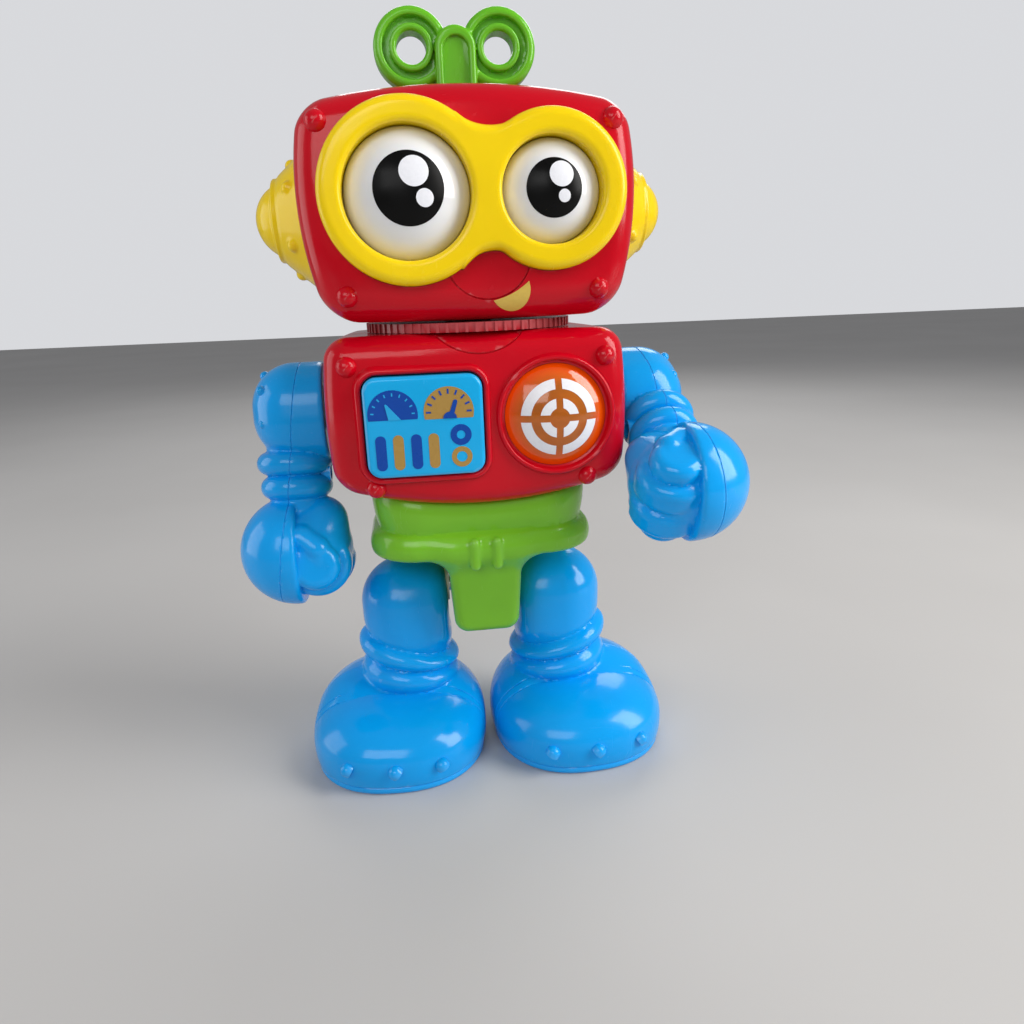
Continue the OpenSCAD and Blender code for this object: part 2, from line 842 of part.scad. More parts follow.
module arm_inner_shell(side, swing) {
    color("dodgerblue") placed() swung(side, swing) difference() {
        union() {
            intersection() {
                arm_shell();
                translate([arm_seam_x - 2 * reach, -reach, -reach]) cube(2 * reach);
            }
            intersection() {
                for (i = [1, 2]) outward(arm_seam_x - 26, arm_screw_spots[i]) cylinder(r = well_r, h = 26);
                arm_form(1);
            }
        }
        rotate([0, 90, 0]) translate([0, 0, 50]) cylinder(r = shoulder_axle_r + 0.02, h = 15);
        for (i = [1, 2]) outward(arm_head_xs[i] - 30, arm_screw_spots[i]) {
            cylinder(r = screw_head_r + 0.3, h = 30);
            cylinder(r = screw_r + 0.2, h = 60);
        }
    }
}

module shoulder_axle(side, swing) {
    color("ivory") placed() swung(side, swing) rotate([0, 90, 0]) difference() {
        union() {
            translate([0, 0, 48.6]) cylinder(r = shoulder_axle_r, h = 17.4);
            translate([0, 0, 48.6]) cylinder(r = 12.5, h = 2.4);
            translate([0, 0, arm_inner_x + 2.1]) cylinder(r = 11.5, h = 2);
        }
        translate([0, 0, 47]) cylinder(r = 5, h = 16);
        translate([0, 0, 60]) cylinder(r = screw_r + 0.2, h = 10);
    }
}

module arm_screws(side, swing) {
    color("silver") placed() swung(side, swing) for (i = [0:2])
        outward(arm_head_xs[i] + 0.05, arm_screw_spots[i]) {
        base = i == 0 ? 0 : -screw_head_h;
        translate([0, 0, base]) cylinder(r = screw_head_r, h = screw_head_h - 0.1);
        translate([0, 0, base]) cylinder(r = screw_r, h = 78 - arm_head_xs[i] - base);
    }
}

// ---- Pelvis and hip axle --------------------------------------------------------------------

pelvis_bolt_xs = [-26, 26];
pelvis_bolt_y = 4;
pelvis_bolt_foot = 105;
pelvis_bolt_l = waist_z + wall - pelvis_bolt_foot;
pelvis_front_view = both_sides([
    [40, waist_z - 0.05, 1.5], [42.4, 107, 5], [41, 101.6, 2], [44.6, 96, 4],
    [40, 90.8, 4], [14, 91.4, 9], [12.6, 58, 5]
]);
pelvis_side_view = [
    [-31, waist_z - 0.05, 1.5], [-33, 107, 5], [-31.2, 101.6, 2], [-34.5, 95, 4],
    [-29.5, 83, 8], [-27, 58, 8], [20, 58, 9], [24, 83, 8], [29, 95, 4],
    [26.2, 101.6, 2], [28, 107, 5], [26, waist_z - 0.05, 1.5]
];
pelvis_plan = both_sides([[44.6, -34, 20], [44.6, 29, 20]]);
pelvis_cavity_front = both_sides([
    [37.6, waist_z - wall, 2], [38, 97, 3], [37.4, 94, 2], [11.4, 94, 3], [10, 60.4, 3]
]);
pelvis_cavity_side = [
    [-28, waist_z - wall, 2], [-28, 94, 2], [-24.6, 60.4, 5], [17.6, 60.4, 5], [22.8, 94, 2],
    [22.8, waist_z - wall, 2]
];
pelvis_cavity_plan = both_sides([[42, -31, 17], [42, 26, 17]]);
pelvis_screw_spots = [[-30, 101], [30, 101], [0, 84]];
bar_l = 8;

module pelvis_shell() {
    difference() {
        carved(pelvis_front_view, pelvis_side_view, pelvis_plan);
        difference() {
            carved(pelvis_cavity_front, pelvis_cavity_side, pelvis_cavity_plan);
            for (x = pelvis_bolt_xs) translate([x, pelvis_bolt_y, 100]) cylinder(r = 3.4, h = 16);
            translate([-20, 0, hip_z]) rotate([0, 90, 0]) cylinder(r = 6, h = 40);
        }
        translate([-50, 0, hip_z]) rotate([0, 90, 0]) cylinder(r = axle_r + 0.02, h = 100);
        for (x = pelvis_bolt_xs) translate([x, pelvis_bolt_y, 102]) cylinder(r = screw_r + 0.02, h = 20);
    }
}

module pelvis_front_shell() {
    color("yellowgreen") placed() {
        difference() {
            union() {
                intersection() {
                    pelvis_shell();
                    front_half();
                }
                for (s = pelvis_screw_spots) front_post(s.x, s.y, -29);
            }
            for (s = pelvis_screw_spots) pilot(s.x, s.y, 16);
        }
        for (x = [-4.25, 4.25]) translate([x, -34.3, 90.4]) {
            cylinder(r = 1.8, h = bar_l);
            for (end = [0, bar_l]) translate([0, 0, end]) sphere(r = 1.8);
        }
    }
}

module pelvis_rear_shell() {
    color("yellowgreen") placed() difference() {
        union() {
            intersection() {
                pelvis_shell();
                rear_half();
            }
            for (s = pelvis_screw_spots) rear_post(s.x, s.y, 22);
        }
        for (s = pelvis_screw_spots) screw_well(s.x, s.y, 14);
    }
}

module pelvis_screws() {
    color("silver") placed() {
        for (s = pelvis_screw_spots) screw_in(s.x, 14, s.y, 27);
        for (x = pelvis_bolt_xs) translate([x, pelvis_bolt_y, pelvis_bolt_foot]) {
            cylinder(r = screw_r, h = pelvis_bolt_l + 0.1);
            translate([0, 0, pelvis_bolt_l + 0.05]) cylinder(r = screw_head_r, h = screw_head_h);
        }
    }
}

module hip_axle() {
    color("silver") placed() translate([-42, 0, hip_z]) rotate([0, 90, 0]) cylinder(r = axle_r, h = 84);
}

module axle_clips() {
    color("dimgray") placed() for (side = [-1, 1]) on_side(side)
        translate([39.2, 0, hip_z]) rotate([0, 90, 0]) difference() {
            cylinder(r = 5.6, h = 1.4);
            translate([0, 0, -1]) cylinder(r = axle_r, h = 4);
        }
}

// ---- Legs -----------------------------------------------------------------------------------

boot_back = 33;
boot_front = boot_back - boot_l;
boot_front_view = [
    [leg_x + 5.4 + boot_half_w, -5, 0.8], [leg_x + 5.4 + boot_half_w, 11, 12],
    [leg_x + 32.5, 27, 14], [leg_x + 21, 36, 8], [leg_x - 19, 36, 8],
    [leg_x - 25, 27, 14], [leg_x + 5.4 - boot_half_w, 11, 12], [leg_x + 5.4 - boot_half_w, -5, 0.8]
];
boot_side_view = [
    [boot_front, -5, 0.8], [boot_front, 9, 9], [boot_front + 9, 25, 16], [boot_front + 25, 36, 14],
    [boot_back - 9, 36, 10], [boot_back, 20, 12], [boot_back, -5, 0.8]
];
boot_plan = [
    [leg_x + 5.4 - boot_half_w, boot_front, 34], [leg_x + 5.4 + boot_half_w, boot_front, 34],
    [leg_x + 3.4 + boot_half_w, boot_back, 24], [leg_x + 7.4 - boot_half_w, boot_back, 24]
];

module toed_out() {
    translate([leg_x, 0, 0]) rotate([0, 0, toe_out]) translate([-leg_x, 0, 0]) children();
}

module boot_form(t) {
    toed_out() carved(
        inset(boot_front_view, [leg_x + 4, 6], t),
        inset(boot_side_view, [-7, 6], t),
        inset(boot_plan, [leg_x + 5, -7], t)
    );
}

// Rounded upper leg with two puffed rings; the inner side is cut flat beside the pelvis
module leg_column(t) {
    ring_tilt = 5;
    intersection() {
        translate([leg_x, 0, 0]) {
            translate([0, 0, 64.8]) sphere(r = leg_r - t);
            translate([0, 0, 48]) cylinder(r = leg_r - t, h = 16.8);
            translate([0, 0, 22]) cylinder(r = 17.4 - t, h = 27);
            rotate([0, -ring_tilt, 0]) puffed_ring(20.2 - t, 4.8 - t / 2, 43);
            rotate([0, -ring_tilt / 2, 0]) puffed_ring(20.4 - t, 4.8 - t / 2, 32.5);
        }
        translate([hip_gap_x + t, -reach, 20]) cube([reach, 2 * reach, reach]);
    }
}

leg_screw_z = 48;
hub_r = 7;
hip_boss_l = 12;
sole_screw_spots = [[20, -26], [56, -26], [38, 22]];

module leg_shell() {
    difference() {
        union() {
            boot_form(0.8);
            leg_column(0);
        }
        difference() {
            union() {
                boot_form(0.8 + wall);
                leg_column(wall);
            }
            translate([hip_gap_x, 0, hip_z]) rotate([0, 90, 0]) cylinder(r = 10.5, h = hip_boss_l);
            for (s = sole_screw_spots) translate([s.x, s.y, 0]) cylinder(r = post_r, h = 40);
        }
        translate([-reach, -reach, sole_t - reach]) cube([2 * reach, 2 * reach, reach]);
        for (s = sole_screw_spots) translate([s.x, s.y, -1]) cylinder(r = screw_r + 0.02, h = 14);
        translate([hip_gap_x - 1, 0, hip_z]) rotate([0, 90, 0])
            cylinder(r = hub_r + 0.03, h = hip_boss_l + 1.5);
    }
}

module leg_front_shell(side) {
    color("dodgerblue") placed() on_side(side) {
        difference() {
            union() {
                intersection() {
                    leg_shell();
                    front_half();
                }
                front_post(leg_x, leg_screw_z, -15.5);
            }
            pilot(leg_x, leg_screw_z, 12);
        }
        toed_out() for (a = [-32, 0, 32])
            translate([leg_x + 5.4 + 33.6 * sin(a), boot_front + 35.6 - 33.6 * cos(a), 9])
                sphere(r = 2.8);
    }
}

module leg_rear_shell(side) {
    color("dodgerblue") placed() on_side(side) difference() {
        union() {
            intersection() {
                leg_shell();
                rear_half();
            }
            rear_post(leg_x, leg_screw_z, 16);
        }
        screw_well(leg_x, leg_screw_z, 11);
    }
}

module sole(side) {
    color("dodgerblue") placed() on_side(side) difference() {
        toed_out() linear_extrude(sole_t) polygon(rounded(boot_plan));
        for (s = sole_screw_spots) translate([s.x, s.y, -1]) {
            cylinder(r = screw_r + 0.2, h = 8);
            cylinder(r = screw_head_r + 0.3, h = 2.7);
        }
    }
}

module leg_screws(side) {
    color("silver") placed() on_side(side) {
        screw_in(leg_x, 11, leg_screw_z, 19);
        for (s = sole_screw_spots) translate([s.x, s.y, 0.7]) {
            cylinder(r = screw_head_r, h = 1);
            cylinder(r = screw_r, h = 11);
        }
    }
}

module hip_hub(side) {
    color("ivory") placed() on_side(side)
        translate([hip_gap_x - 0.2, 0, hip_z]) rotate([0, 90, 0]) difference() {
        union() {
            cylinder(r = hub_r, h = 24.8);
            translate([0, 0, hip_boss_l + 0.3]) cylinder(r = 9, h = 2);
        }
        translate([0, 0, -1]) cylinder(r = axle_r + run_gap, h = 28);
    }
}

head_front_shell();
head_rear_shell();
goggle_bezel();
eye(right_eye_x, right_eye_r, 52);  // right_eye
eye(left_eye_x, left_eye_r, 50.5);  // left_eye
eye_plate();
ear(-1);  // right_ear
ear(1);  // left_ear
head_screws();
click_spring();
neck_post();
neck_screw();
winding_key();
key_ratchet();
key_screw();
torso_front_shell();
torso_rear_shell();
neck_collar();
lens_dome();
lens_leds();
circuit_board();
button_switch();
button_spring();
speaker();
speaker_cone();
battery_tray();
batteries();
battery_contacts();
slide_switch();
wires();
torso_screws();
control_button();
switch_knob();
battery_door();
door_screw();
arm_outer_shell(-1, right_arm_swing);  // right_arm_outer_shell
arm_inner_shell(-1, right_arm_swing);  // right_arm_inner_shell
shoulder_axle(-1, right_arm_swing);  // right_shoulder_axle
arm_screws(-1, right_arm_swing);  // right_arm_screws
arm_outer_shell(1, left_arm_swing);  // left_arm_outer_shell
arm_inner_shell(1, left_arm_swing);  // left_arm_inner_shell
shoulder_axle(1, left_arm_swing);  // left_shoulder_axle
arm_screws(1, left_arm_swing);  // left_arm_screws
pelvis_front_shell();
pelvis_rear_shell();
pelvis_screws();
hip_axle();
axle_clips();
leg_front_shell(-1);  // right_leg_front_shell
leg_rear_shell(-1);  // right_leg_rear_shell
sole(-1);  // right_sole
hip_hub(-1);  // right_hip_hub
leg_screws(-1);  // right_leg_screws
leg_front_shell(1);  // left_leg_front_shell
leg_rear_shell(1);  // left_leg_rear_shell
sole(1);  // left_sole
hip_hub(1);  // left_hip_hub
leg_screws(1);  // left_leg_screws
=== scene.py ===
"""The toy robot's looks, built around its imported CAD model.

Lengths are in millimetres until a mesh is made, when they become metres. y is measured from the
neck axis until a piece is finished. Each moulded shell is a field: a function of x, y, z that is
negative inside the shape, meshed where it is zero.
"""

import json
from itertools import product
from math import asin, atan2, cos, degrees, hypot, pi, radians, sin, sqrt, tau

import bmesh
import bpy
import numpy as np
from mathutils import Matrix, Vector


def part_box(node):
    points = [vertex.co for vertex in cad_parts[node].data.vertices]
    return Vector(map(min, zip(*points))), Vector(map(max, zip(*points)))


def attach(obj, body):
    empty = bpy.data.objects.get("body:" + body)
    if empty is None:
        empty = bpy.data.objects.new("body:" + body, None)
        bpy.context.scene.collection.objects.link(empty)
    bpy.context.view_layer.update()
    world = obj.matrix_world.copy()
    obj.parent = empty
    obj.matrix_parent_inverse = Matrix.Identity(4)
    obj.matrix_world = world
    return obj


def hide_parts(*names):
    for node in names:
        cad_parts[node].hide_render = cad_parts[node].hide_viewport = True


MM = 0.001
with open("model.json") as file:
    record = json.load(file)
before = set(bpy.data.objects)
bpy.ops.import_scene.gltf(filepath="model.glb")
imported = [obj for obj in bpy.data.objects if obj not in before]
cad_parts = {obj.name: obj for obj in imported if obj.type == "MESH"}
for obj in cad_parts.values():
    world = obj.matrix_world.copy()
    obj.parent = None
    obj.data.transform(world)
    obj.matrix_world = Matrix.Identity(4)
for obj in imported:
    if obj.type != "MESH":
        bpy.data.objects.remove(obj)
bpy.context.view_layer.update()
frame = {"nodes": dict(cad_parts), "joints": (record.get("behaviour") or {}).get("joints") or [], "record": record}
joints = {j["name"]: j for j in frame["joints"]}
NECK_AXIS = Vector((0, joints["neck_turn"]["pos_m"][1], 0))


def box_mm(node):
    """Lowest and highest corner of a CAD node, in millimetres from the neck axis."""
    low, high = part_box(node)
    return (Vector(low) - NECK_AXIS) / MM, (Vector(high) - NECK_AXIS) / MM


def middle_mm(node):
    """x and z of the middle of a CAD node."""
    low, high = box_mm(node)
    return (low.x + high.x) / 2, (low.z + high.z) / 2


# ---- Places and sizes, read from the frame ------------------------------------------------------

WALL = 2.4
FLANGE = 2.4
FLANGE_T = 1.6
head_low, head_high = box_mm("head_rear_shell")
HEAD_HALF_W = head_high.x - 0.4
HEAD_TOP = head_high.z
HEAD_BOTTOM = head_low.z
HEAD_BACK = head_high.y
HEAD_FRONT = 43.5
HEAD_MID_Z = (HEAD_TOP + HEAD_BOTTOM) / 2
FACE_Z = 222
CROWN_RISE = 2.0

torso_low, torso_high = box_mm("torso_rear_shell")
TORSO_HALF_W = torso_high.x
TORSO_TOP = torso_high.z
WAIST = torso_low.z
TORSO_BACK = torso_high.y
TORSO_FRONT = 40
WAIST_MID = WAIST - 1.5
WAIST_BEND = 340
TORSO_MID_Z = (TORSO_TOP + WAIST) / 2

button_low, button_high = box_mm("control_button")
BUTTON_X, BUTTON_Z = middle_mm("control_button")
BUTTON_FLANGE = 1.4
BUTTON_HALF_W = (button_high.x - button_low.x) / 2 - BUTTON_FLANGE - 0.5
BUTTON_HALF_H = (button_high.z - button_low.z) / 2 - BUTTON_FLANGE - 0.4
BUTTON_FRONT = button_low.y
BUTTON_CORNER = 5

lens_low, lens_high = box_mm("lens_dome")
LENS_X, LENS_Z = middle_mm("lens_dome")
LENS_FLANGE = 1.5
LENS_R = (lens_high.x - lens_low.x) / 2 - LENS_FLANGE
LENS_CROWN = lens_low.y
LENS_CROWN_SPOT = Vector((LENS_X, LENS_CROWN, LENS_Z)) * MM + NECK_AXIS

pelvis_low = box_mm("pelvis_rear_shell")[0]
HIP_GAP = 14.2
LEG_X = 32.6
LEG_R = 18.7
TOE_OUT = 3.5
SOLE_T = box_mm("left_sole")[1].z

SHOULDER_Z = joints["left_shoulder"]["pos_m"][2] / MM
FIST_R = 21.8


# ---- Fields -------------------------------------------------------------------------------------


def length(*parts):
    return np.sqrt(sum(p * p for p in parts))


def joined(a, b, r):
    """Both shapes, with a fillet of radius r where they meet."""
    return np.maximum(np.minimum(a, b), r) - length(np.maximum(r - a, 0), np.maximum(r - b, 0))


def common(a, b, r):
    """What is inside both shapes, with the shared edge rounded to radius r."""
    return np.minimum(np.maximum(a, b), -r) + length(np.maximum(a + r, 0), np.maximum(b + r, 0))


def carved(a, b, r):
    """The first shape without the second, with the new edge rounded to radius r."""
    return common(a, -b, r)


def pillow(out, across=0.0, r_across=1.0, along=0.0, r_along=1.0):
    """A face at out = 0 that bulges, with a radius of curvature in each of its two directions."""
    return out + across * across / (2 * r_across) + along * along / (2 * r_along)


def capsule(p, a, b, r):
    """Round-ended rod of radius r from a to b."""
    ab = [q - o for o, q in zip(a, b)]
    ap = [u - o for u, o in zip(p, a)]
    t = np.clip(sum(u * v for u, v in zip(ap, ab)) / sum(v * v for v in ab), 0, 1)
    return length(*[u - t * v for u, v in zip(ap, ab)]) - r


def ball(p, centre, r):
    return length(*[u - c for u, c in zip(p, centre)]) - r


# ---- Meshing ------------------------------------------------------------------------------------


def surface_net(field, low, high, step):
    """Vertices and outward-facing quads of field = 0, with one vertex in each crossed cell."""
    axes = [np.arange(a, b + step, step) for a, b in zip(low, high)]
    grid = np.meshgrid(*axes, indexing="ij", sparse=True)
    values = np.broadcast_to(field(*grid), [len(a) for a in axes])
    inside = values < 0
    cell_shape = [n - 1 for n in values.shape]
    count = np.zeros(cell_shape, np.int8)
    for i, j, k in product((0, 1), repeat=3):
        count += inside[i:i + cell_shape[0], j:j + cell_shape[1], k:k + cell_shape[2]]
    cells = np.argwhere((count > 0) & (count < 8))
    total = np.zeros(cells.shape)
    hits = np.zeros(len(cells))
    for axis in range(3):
        for side in product((0, 1), repeat=2):
            start = np.insert(np.array(side), axis, 0)
            end = np.insert(np.array(side), axis, 1)
            va = values[tuple((cells + start).T)]
            vb = values[tuple((cells + end).T)]
            crossed = (va < 0) != (vb < 0)
            share = np.where(crossed, va / np.where(crossed, va - vb, 1), 0)
            total += crossed[:, None] * (start + share[:, None] * (end - start))
            hits += crossed
    points = (cells + total / hits[:, None]) * step + np.array([a[0] for a in axes])
    number = np.full(cell_shape, -1)
    number[tuple(cells.T)] = np.arange(len(cells))
    quads = []
    for axis in range(3):
        b, c = (axis + 1) % 3, (axis + 2) % 3
        first = np.take(inside, range(values.shape[axis] - 1), axis)
        second = np.take(inside, range(1, values.shape[axis]), axis)
        spots = np.argwhere(first != second)
        within = (spots[:, b] > 0) & (spots[:, c] > 0)
        within &= (spots[:, b] < values.shape[b] - 1) & (spots[:, c] < values.shape[c] - 1)
        spots = spots[within]
        ring = []
        for db, dc in ((-1, -1), (0, -1), (0, 0), (-1, 0)):
            cell = spots.copy()
            cell[:, b] += db
            cell[:, c] += dc
            ring.append(number[tuple(cell.T)])
        quad = np.stack(ring, axis=1)
        outward = first[tuple(spots.T)]
        quads.append(np.where(outward[:, None], quad, quad[:, ::-1]))
    return points, np.concatenate(quads)


def settled(points, field, step, rounds=3):
    """The points, moved onto field = 0 along its slope."""
    h = 0.02
    for _ in range(rounds):
        slope = []
        for axis in range(3):
            nudge = np.zeros(3)
            nudge[axis] = h
            slope.append((field(*(points + nudge).T) - field(*(points - nudge).T)) / (2 * h))
        slope = np.stack(slope, axis=1)
        steep = np.maximum((slope * slope).sum(axis=1), 0.2)
        move = -slope * (field(*points.T) / steep)[:, None]
        points = points + np.clip(move, -step / 2, step / 2)
    return points


def new_object(name, points, faces):
    """Object whose mesh has these points, in millimetres."""
    mesh = bpy.data.meshes.new(name)
    faces = [list(map(int, f)) for f in faces]
    mesh.from_pydata((np.asarray(points, float) * MM).tolist(), [], faces)
    piece = bpy.data.objects.new(name, mesh)
    bpy.context.scene.collection.objects.link(piece)
    return piece


def moulded(name, field, low, high, step, wall=None):
    """Object with field = 0 as its surface. With a wall it is hollow, with a coarser inside."""
    points, faces = surface_net(field, low, high, step)
    points = settled(points, field, step)
    if wall:
        def inner(x, y, z):
            return -(field(x, y, z) + wall)

        inside_points, inside_faces = surface_net(inner, low, high, 2.2 * step)
        inside_points = settled(inside_points, inner, step)
        faces = np.concatenate([faces, inside_faces + len(points)])
        points = np.concatenate([points, inside_points])
    return new_object(name, points, faces)


def edited(piece, change):
    """Runs change on a bmesh of the piece and writes it back."""
    bm = bmesh.new()
    bm.from_mesh(piece.data)
    change(bm)
    bm.to_mesh(piece.data)
    bm.free()
    return piece


def copy_of(piece, name):
    twin = bpy.data.objects.new(name, piece.data.copy())
    bpy.context.scene.collection.objects.link(twin)
    return twin


def dropped(piece):
    mesh = piece.data
    bpy.data.objects.remove(piece)
    bpy.data.meshes.remove(mesh)


def cut(source, name, point, away, edge=0.25):
    """Copy of the part of a closed object on the near side of a plane, closed, with its rim eased.

    away points to the side that is removed; two such copies meet in a shallow V-shaped line.
    """
    away = Vector(away)
    plane = Vector(point) * MM
    ease = edge * MM

    def change(bm):
        parts = bm.verts[:] + bm.edges[:] + bm.faces[:]
        bmesh.ops.bisect_plane(bm, geom=parts, dist=1e-7, plane_co=plane, plane_no=away,
                               clear_outer=True)
        rim = [e for e in bm.edges if e.is_boundary]
        outward = {}
        for v in {v for e in rim for v in e.verts}:
            flat = v.normal - away * v.normal.dot(away)
            outward[v] = flat.normalized() if flat.length > 1e-6 else Vector()
        made = bmesh.ops.extrude_edge_only(bm, edges=rim)["geom"]
        for v in [g for g in made if isinstance(g, bmesh.types.BMVert)]:
            old = next(e.other_vert(v) for e in v.link_edges if e.other_vert(v) in outward)
            v.co = old.co - outward[old] * ease
        for v in outward:
            v.co -= away * ease
        edges = [e for e in bm.edges if e.is_boundary]
        bmesh.ops.triangle_fill(bm, use_beauty=True, use_dissolve=False, edges=edges)
        bmesh.ops.recalc_face_normals(bm, faces=bm.faces[:])

    return edited(copy_of(source, name), change)


def halves(source, name, point=(0, 0, 0), along=(0, 1, 0), ends=("front", "rear")):
    """The two halves of a closed object on either side of a plane; uses the object up."""
    away = Vector(along)
    pair = [cut(source, f"{name}_{end}", point, way) for end, way in zip(ends, (away, -away))]
    dropped(source)
    return pair


def scored(piece, point, along, width, depth, where):
    """Presses a V-shaped line into the surface in the plane through point across along."""
    along = Vector(along)

    def change(bm):
        for shift in (-width / 2, 0, width / 2):
            parts = bm.verts[:] + bm.edges[:] + bm.faces[:]
            spot = (Vector(point) + along * shift) * MM
            bmesh.ops.bisect_plane(bm, geom=parts, dist=1e-7, plane_co=spot, plane_no=along)
        bm.normal_update()
        middle = Vector(point) * MM
        line = [v for v in bm.verts if abs((v.co - middle).dot(along)) < 1e-6]
        moves = [(v, v.normal.copy(), where(v.co / MM)) for v in line]
        for v, normal, share in moves:
            v.co -= normal * share * depth * MM

    return edited(piece, change)


def with_parts(piece, tool, operation):
    """Joins, cuts or intersects the piece with a tool object, which is used up."""
    step = piece.modifiers.new("parts", "BOOLEAN")
    step.operation = operation
    step.solver = "MANIFOLD"
    step.object = tool
    graph = bpy.context.evaluated_depsgraph_get()
    mesh = bpy.data.meshes.new_from_object(piece.evaluated_get(graph), depsgraph=graph)
    old = piece.data
    piece.modifiers.clear()
    piece.data = mesh
    mesh.name = piece.name
    bpy.data.meshes.remove(old)
    dropped(tool)
    return piece


def plus(piece, *tools):
    for tool in tools:
        with_parts(piece, tool, "UNION")
    return piece


def minus(piece, *tools):
    for tool in tools:
        with_parts(piece, tool, "DIFFERENCE")
    return piece


def merged(name, parts):
    """One object from several separate closed ones."""
    bm = bmesh.new()
    for part in parts:
        bm.from_mesh(part.data)
        dropped(part)
    mesh = bpy.data.meshes.new(name)
    bm.to_mesh(mesh)
    bm.free()
    piece = bpy.data.objects.new(name, mesh)
    bpy.context.scene.collection.objects.link(piece)
    return piece


def placed(piece, matrix):
    """The piece's mesh, moved by a matrix in millimetres; faces stay outward when it mirrors."""
    scale = Matrix.Scale(MM, 4)
    whole = scale @ matrix @ scale.inverted()
    piece.data.transform(whole)
    if whole.determinant() < 0:
        piece.data.flip_normals()
    return piece


# ---- Solids of revolution and stacks of outlines ------------------------------------------------


def stacked(name, loops, ends=True):
    """Closed object through outlines with equal point counts, capped or joined end to end."""
    count = len(loops[0])
    points = np.concatenate(loops)
    faces = []
    runs = len(loops) - 1 if ends else len(loops)
    for i in range(runs):
        a, b = i * count, (i + 1) % len(loops) * count
        for j in range(count):
            k = (j + 1) % count
            faces.append([a + j, a + k, b + k, b + j])
    if ends:
        faces.append(list(range(count))[::-1])
        faces.append([(len(loops) - 1) * count + j for j in range(count)])
    piece = new_object(name, points, faces)
    return edited(piece, lambda bm: bmesh.ops.recalc_face_normals(bm, faces=bm.faces[:]))


def turned(name, profile, at=(0, 0, 0), turn=None, steps=64, ends=True):
    """Object turned about the Z axis from [radius, height] points, then aimed by turn and moved."""
    angles = np.arange(steps) * tau / steps
    loops = []
    for r, h in profile:
        r = max(r, 0.01)
        level = np.full(steps, float(h))
        loops.append(np.stack([r * np.cos(angles), r * np.sin(angles), level], axis=1))
    piece = stacked(name, loops, ends)
    return placed(piece, Matrix.Translation(at) @ (turn or Matrix.Identity(4)))


FORWARD = Matrix.Rotation(pi / 2, 4, "X")
BACKWARD = Matrix.Rotation(-pi / 2, 4, "X")
OUTWARD = Matrix.Rotation(pi / 2, 4, "Y")


def arc(cx, cy, r, start, end, steps):
    """Points along an arc, with its angles in degrees."""
    turns = np.radians(np.linspace(start, end, steps))
    return [(cx + r * cos(a), cy + r * sin(a)) for a in turns]


def rod(r, y0, y1, x, z, steps=32):
    """Plain cylinder along Y, for adding to or cutting from a shell."""
    return turned("rod", [(r, y0), (r, y1)], (x, 0, z), BACKWARD @ Matrix.Scale(1, 4), steps)


def along_x(r, x0, x1, y, z, steps=32):
    """Plain cylinder along X."""
    return turned("rod", [(r, x0), (r, x1)], (0, y, z), OUTWARD, steps)


def dome_sphere(r, rise):
    """Radius of the sphere whose cap has radius r and stands rise high."""
    return (r * r + rise * rise) / (2 * rise)


def dome_curve(r, sphere, middle, steps):
    """Profile of a cap of radius r, from its crown out, on a sphere centred at height middle."""
    half = asin(r / sphere)
    turns = [half * i / steps for i in range(steps + 1)]
    return [(sphere * sin(a), middle + sphere * cos(a)) for a in turns]


def button_head(r, rise):
    """Profile of a domed rivet of radius r that stands rise above its seat at height 0."""
    sphere = dome_sphere(r, rise)
    return dome_curve(r, sphere, rise - sphere, 6) + [(r, -2.0)]


def domed_cover(r, rise, crown, thick, back, flange, inner_steps):
    """Profile of a hollow domed cover with a flange at its back, and its sphere's middle."""
    sphere = dome_sphere(r, rise)
    middle = crown - sphere
    outer = dome_curve(r, sphere, middle, 20)
    inner = dome_curve(r - thick, sphere - thick, middle, inner_steps)[::-1]
    foot = back - FLANGE_T
    edge = [(r, back), (r + flange, back), (r + flange, foot), (r - thick, foot)]
    return outer + edge + inner, sphere, middle


def quarter_round(r, y, outward, step):
    """Growth and depth along a rounded edge of radius r that ends flat at depth y."""
    turns = [radians(a) for a in range(0, 91, step)]
    return [(-r * (1 - cos(a)), y + outward * (r * sin(a) - r)) for a in turns]


def rounded_box(half_w, half_h, r, steps=8):
    """Outline of a rectangle with rounded corners about the origin."""
    points = []
    for sx, sy, start in ((1, 1, 0), (-1, 1, 90), (-1, -1, 180), (1, -1, 270)):
        points += arc(sx * (half_w - r), sy * (half_h - r), r, start, start + 90, steps)
    return np.array(points)


def framed(outline, x, z, y):
    """A flat outline stood up in the front view at depth y."""
    return np.stack([outline[:, 0] + x, np.full(len(outline), float(y)), outline[:, 1] + z], axis=1)


def panel(name, half_w, half_h, corner, x, z, profile, ends=True):
    """Rounded rectangular plate: profile lists how far its outline grows at each depth."""
    loops = [framed(rounded_box(half_w + g, half_h + g, corner + g), x, z, y) for g, y in profile]
    return stacked(name, loops, ends)


# ---- Prints: thin plates that lie on a surface --------------------------------------------------

PRINT_LIFT = 0.12
PRINT_SINK = 0.25


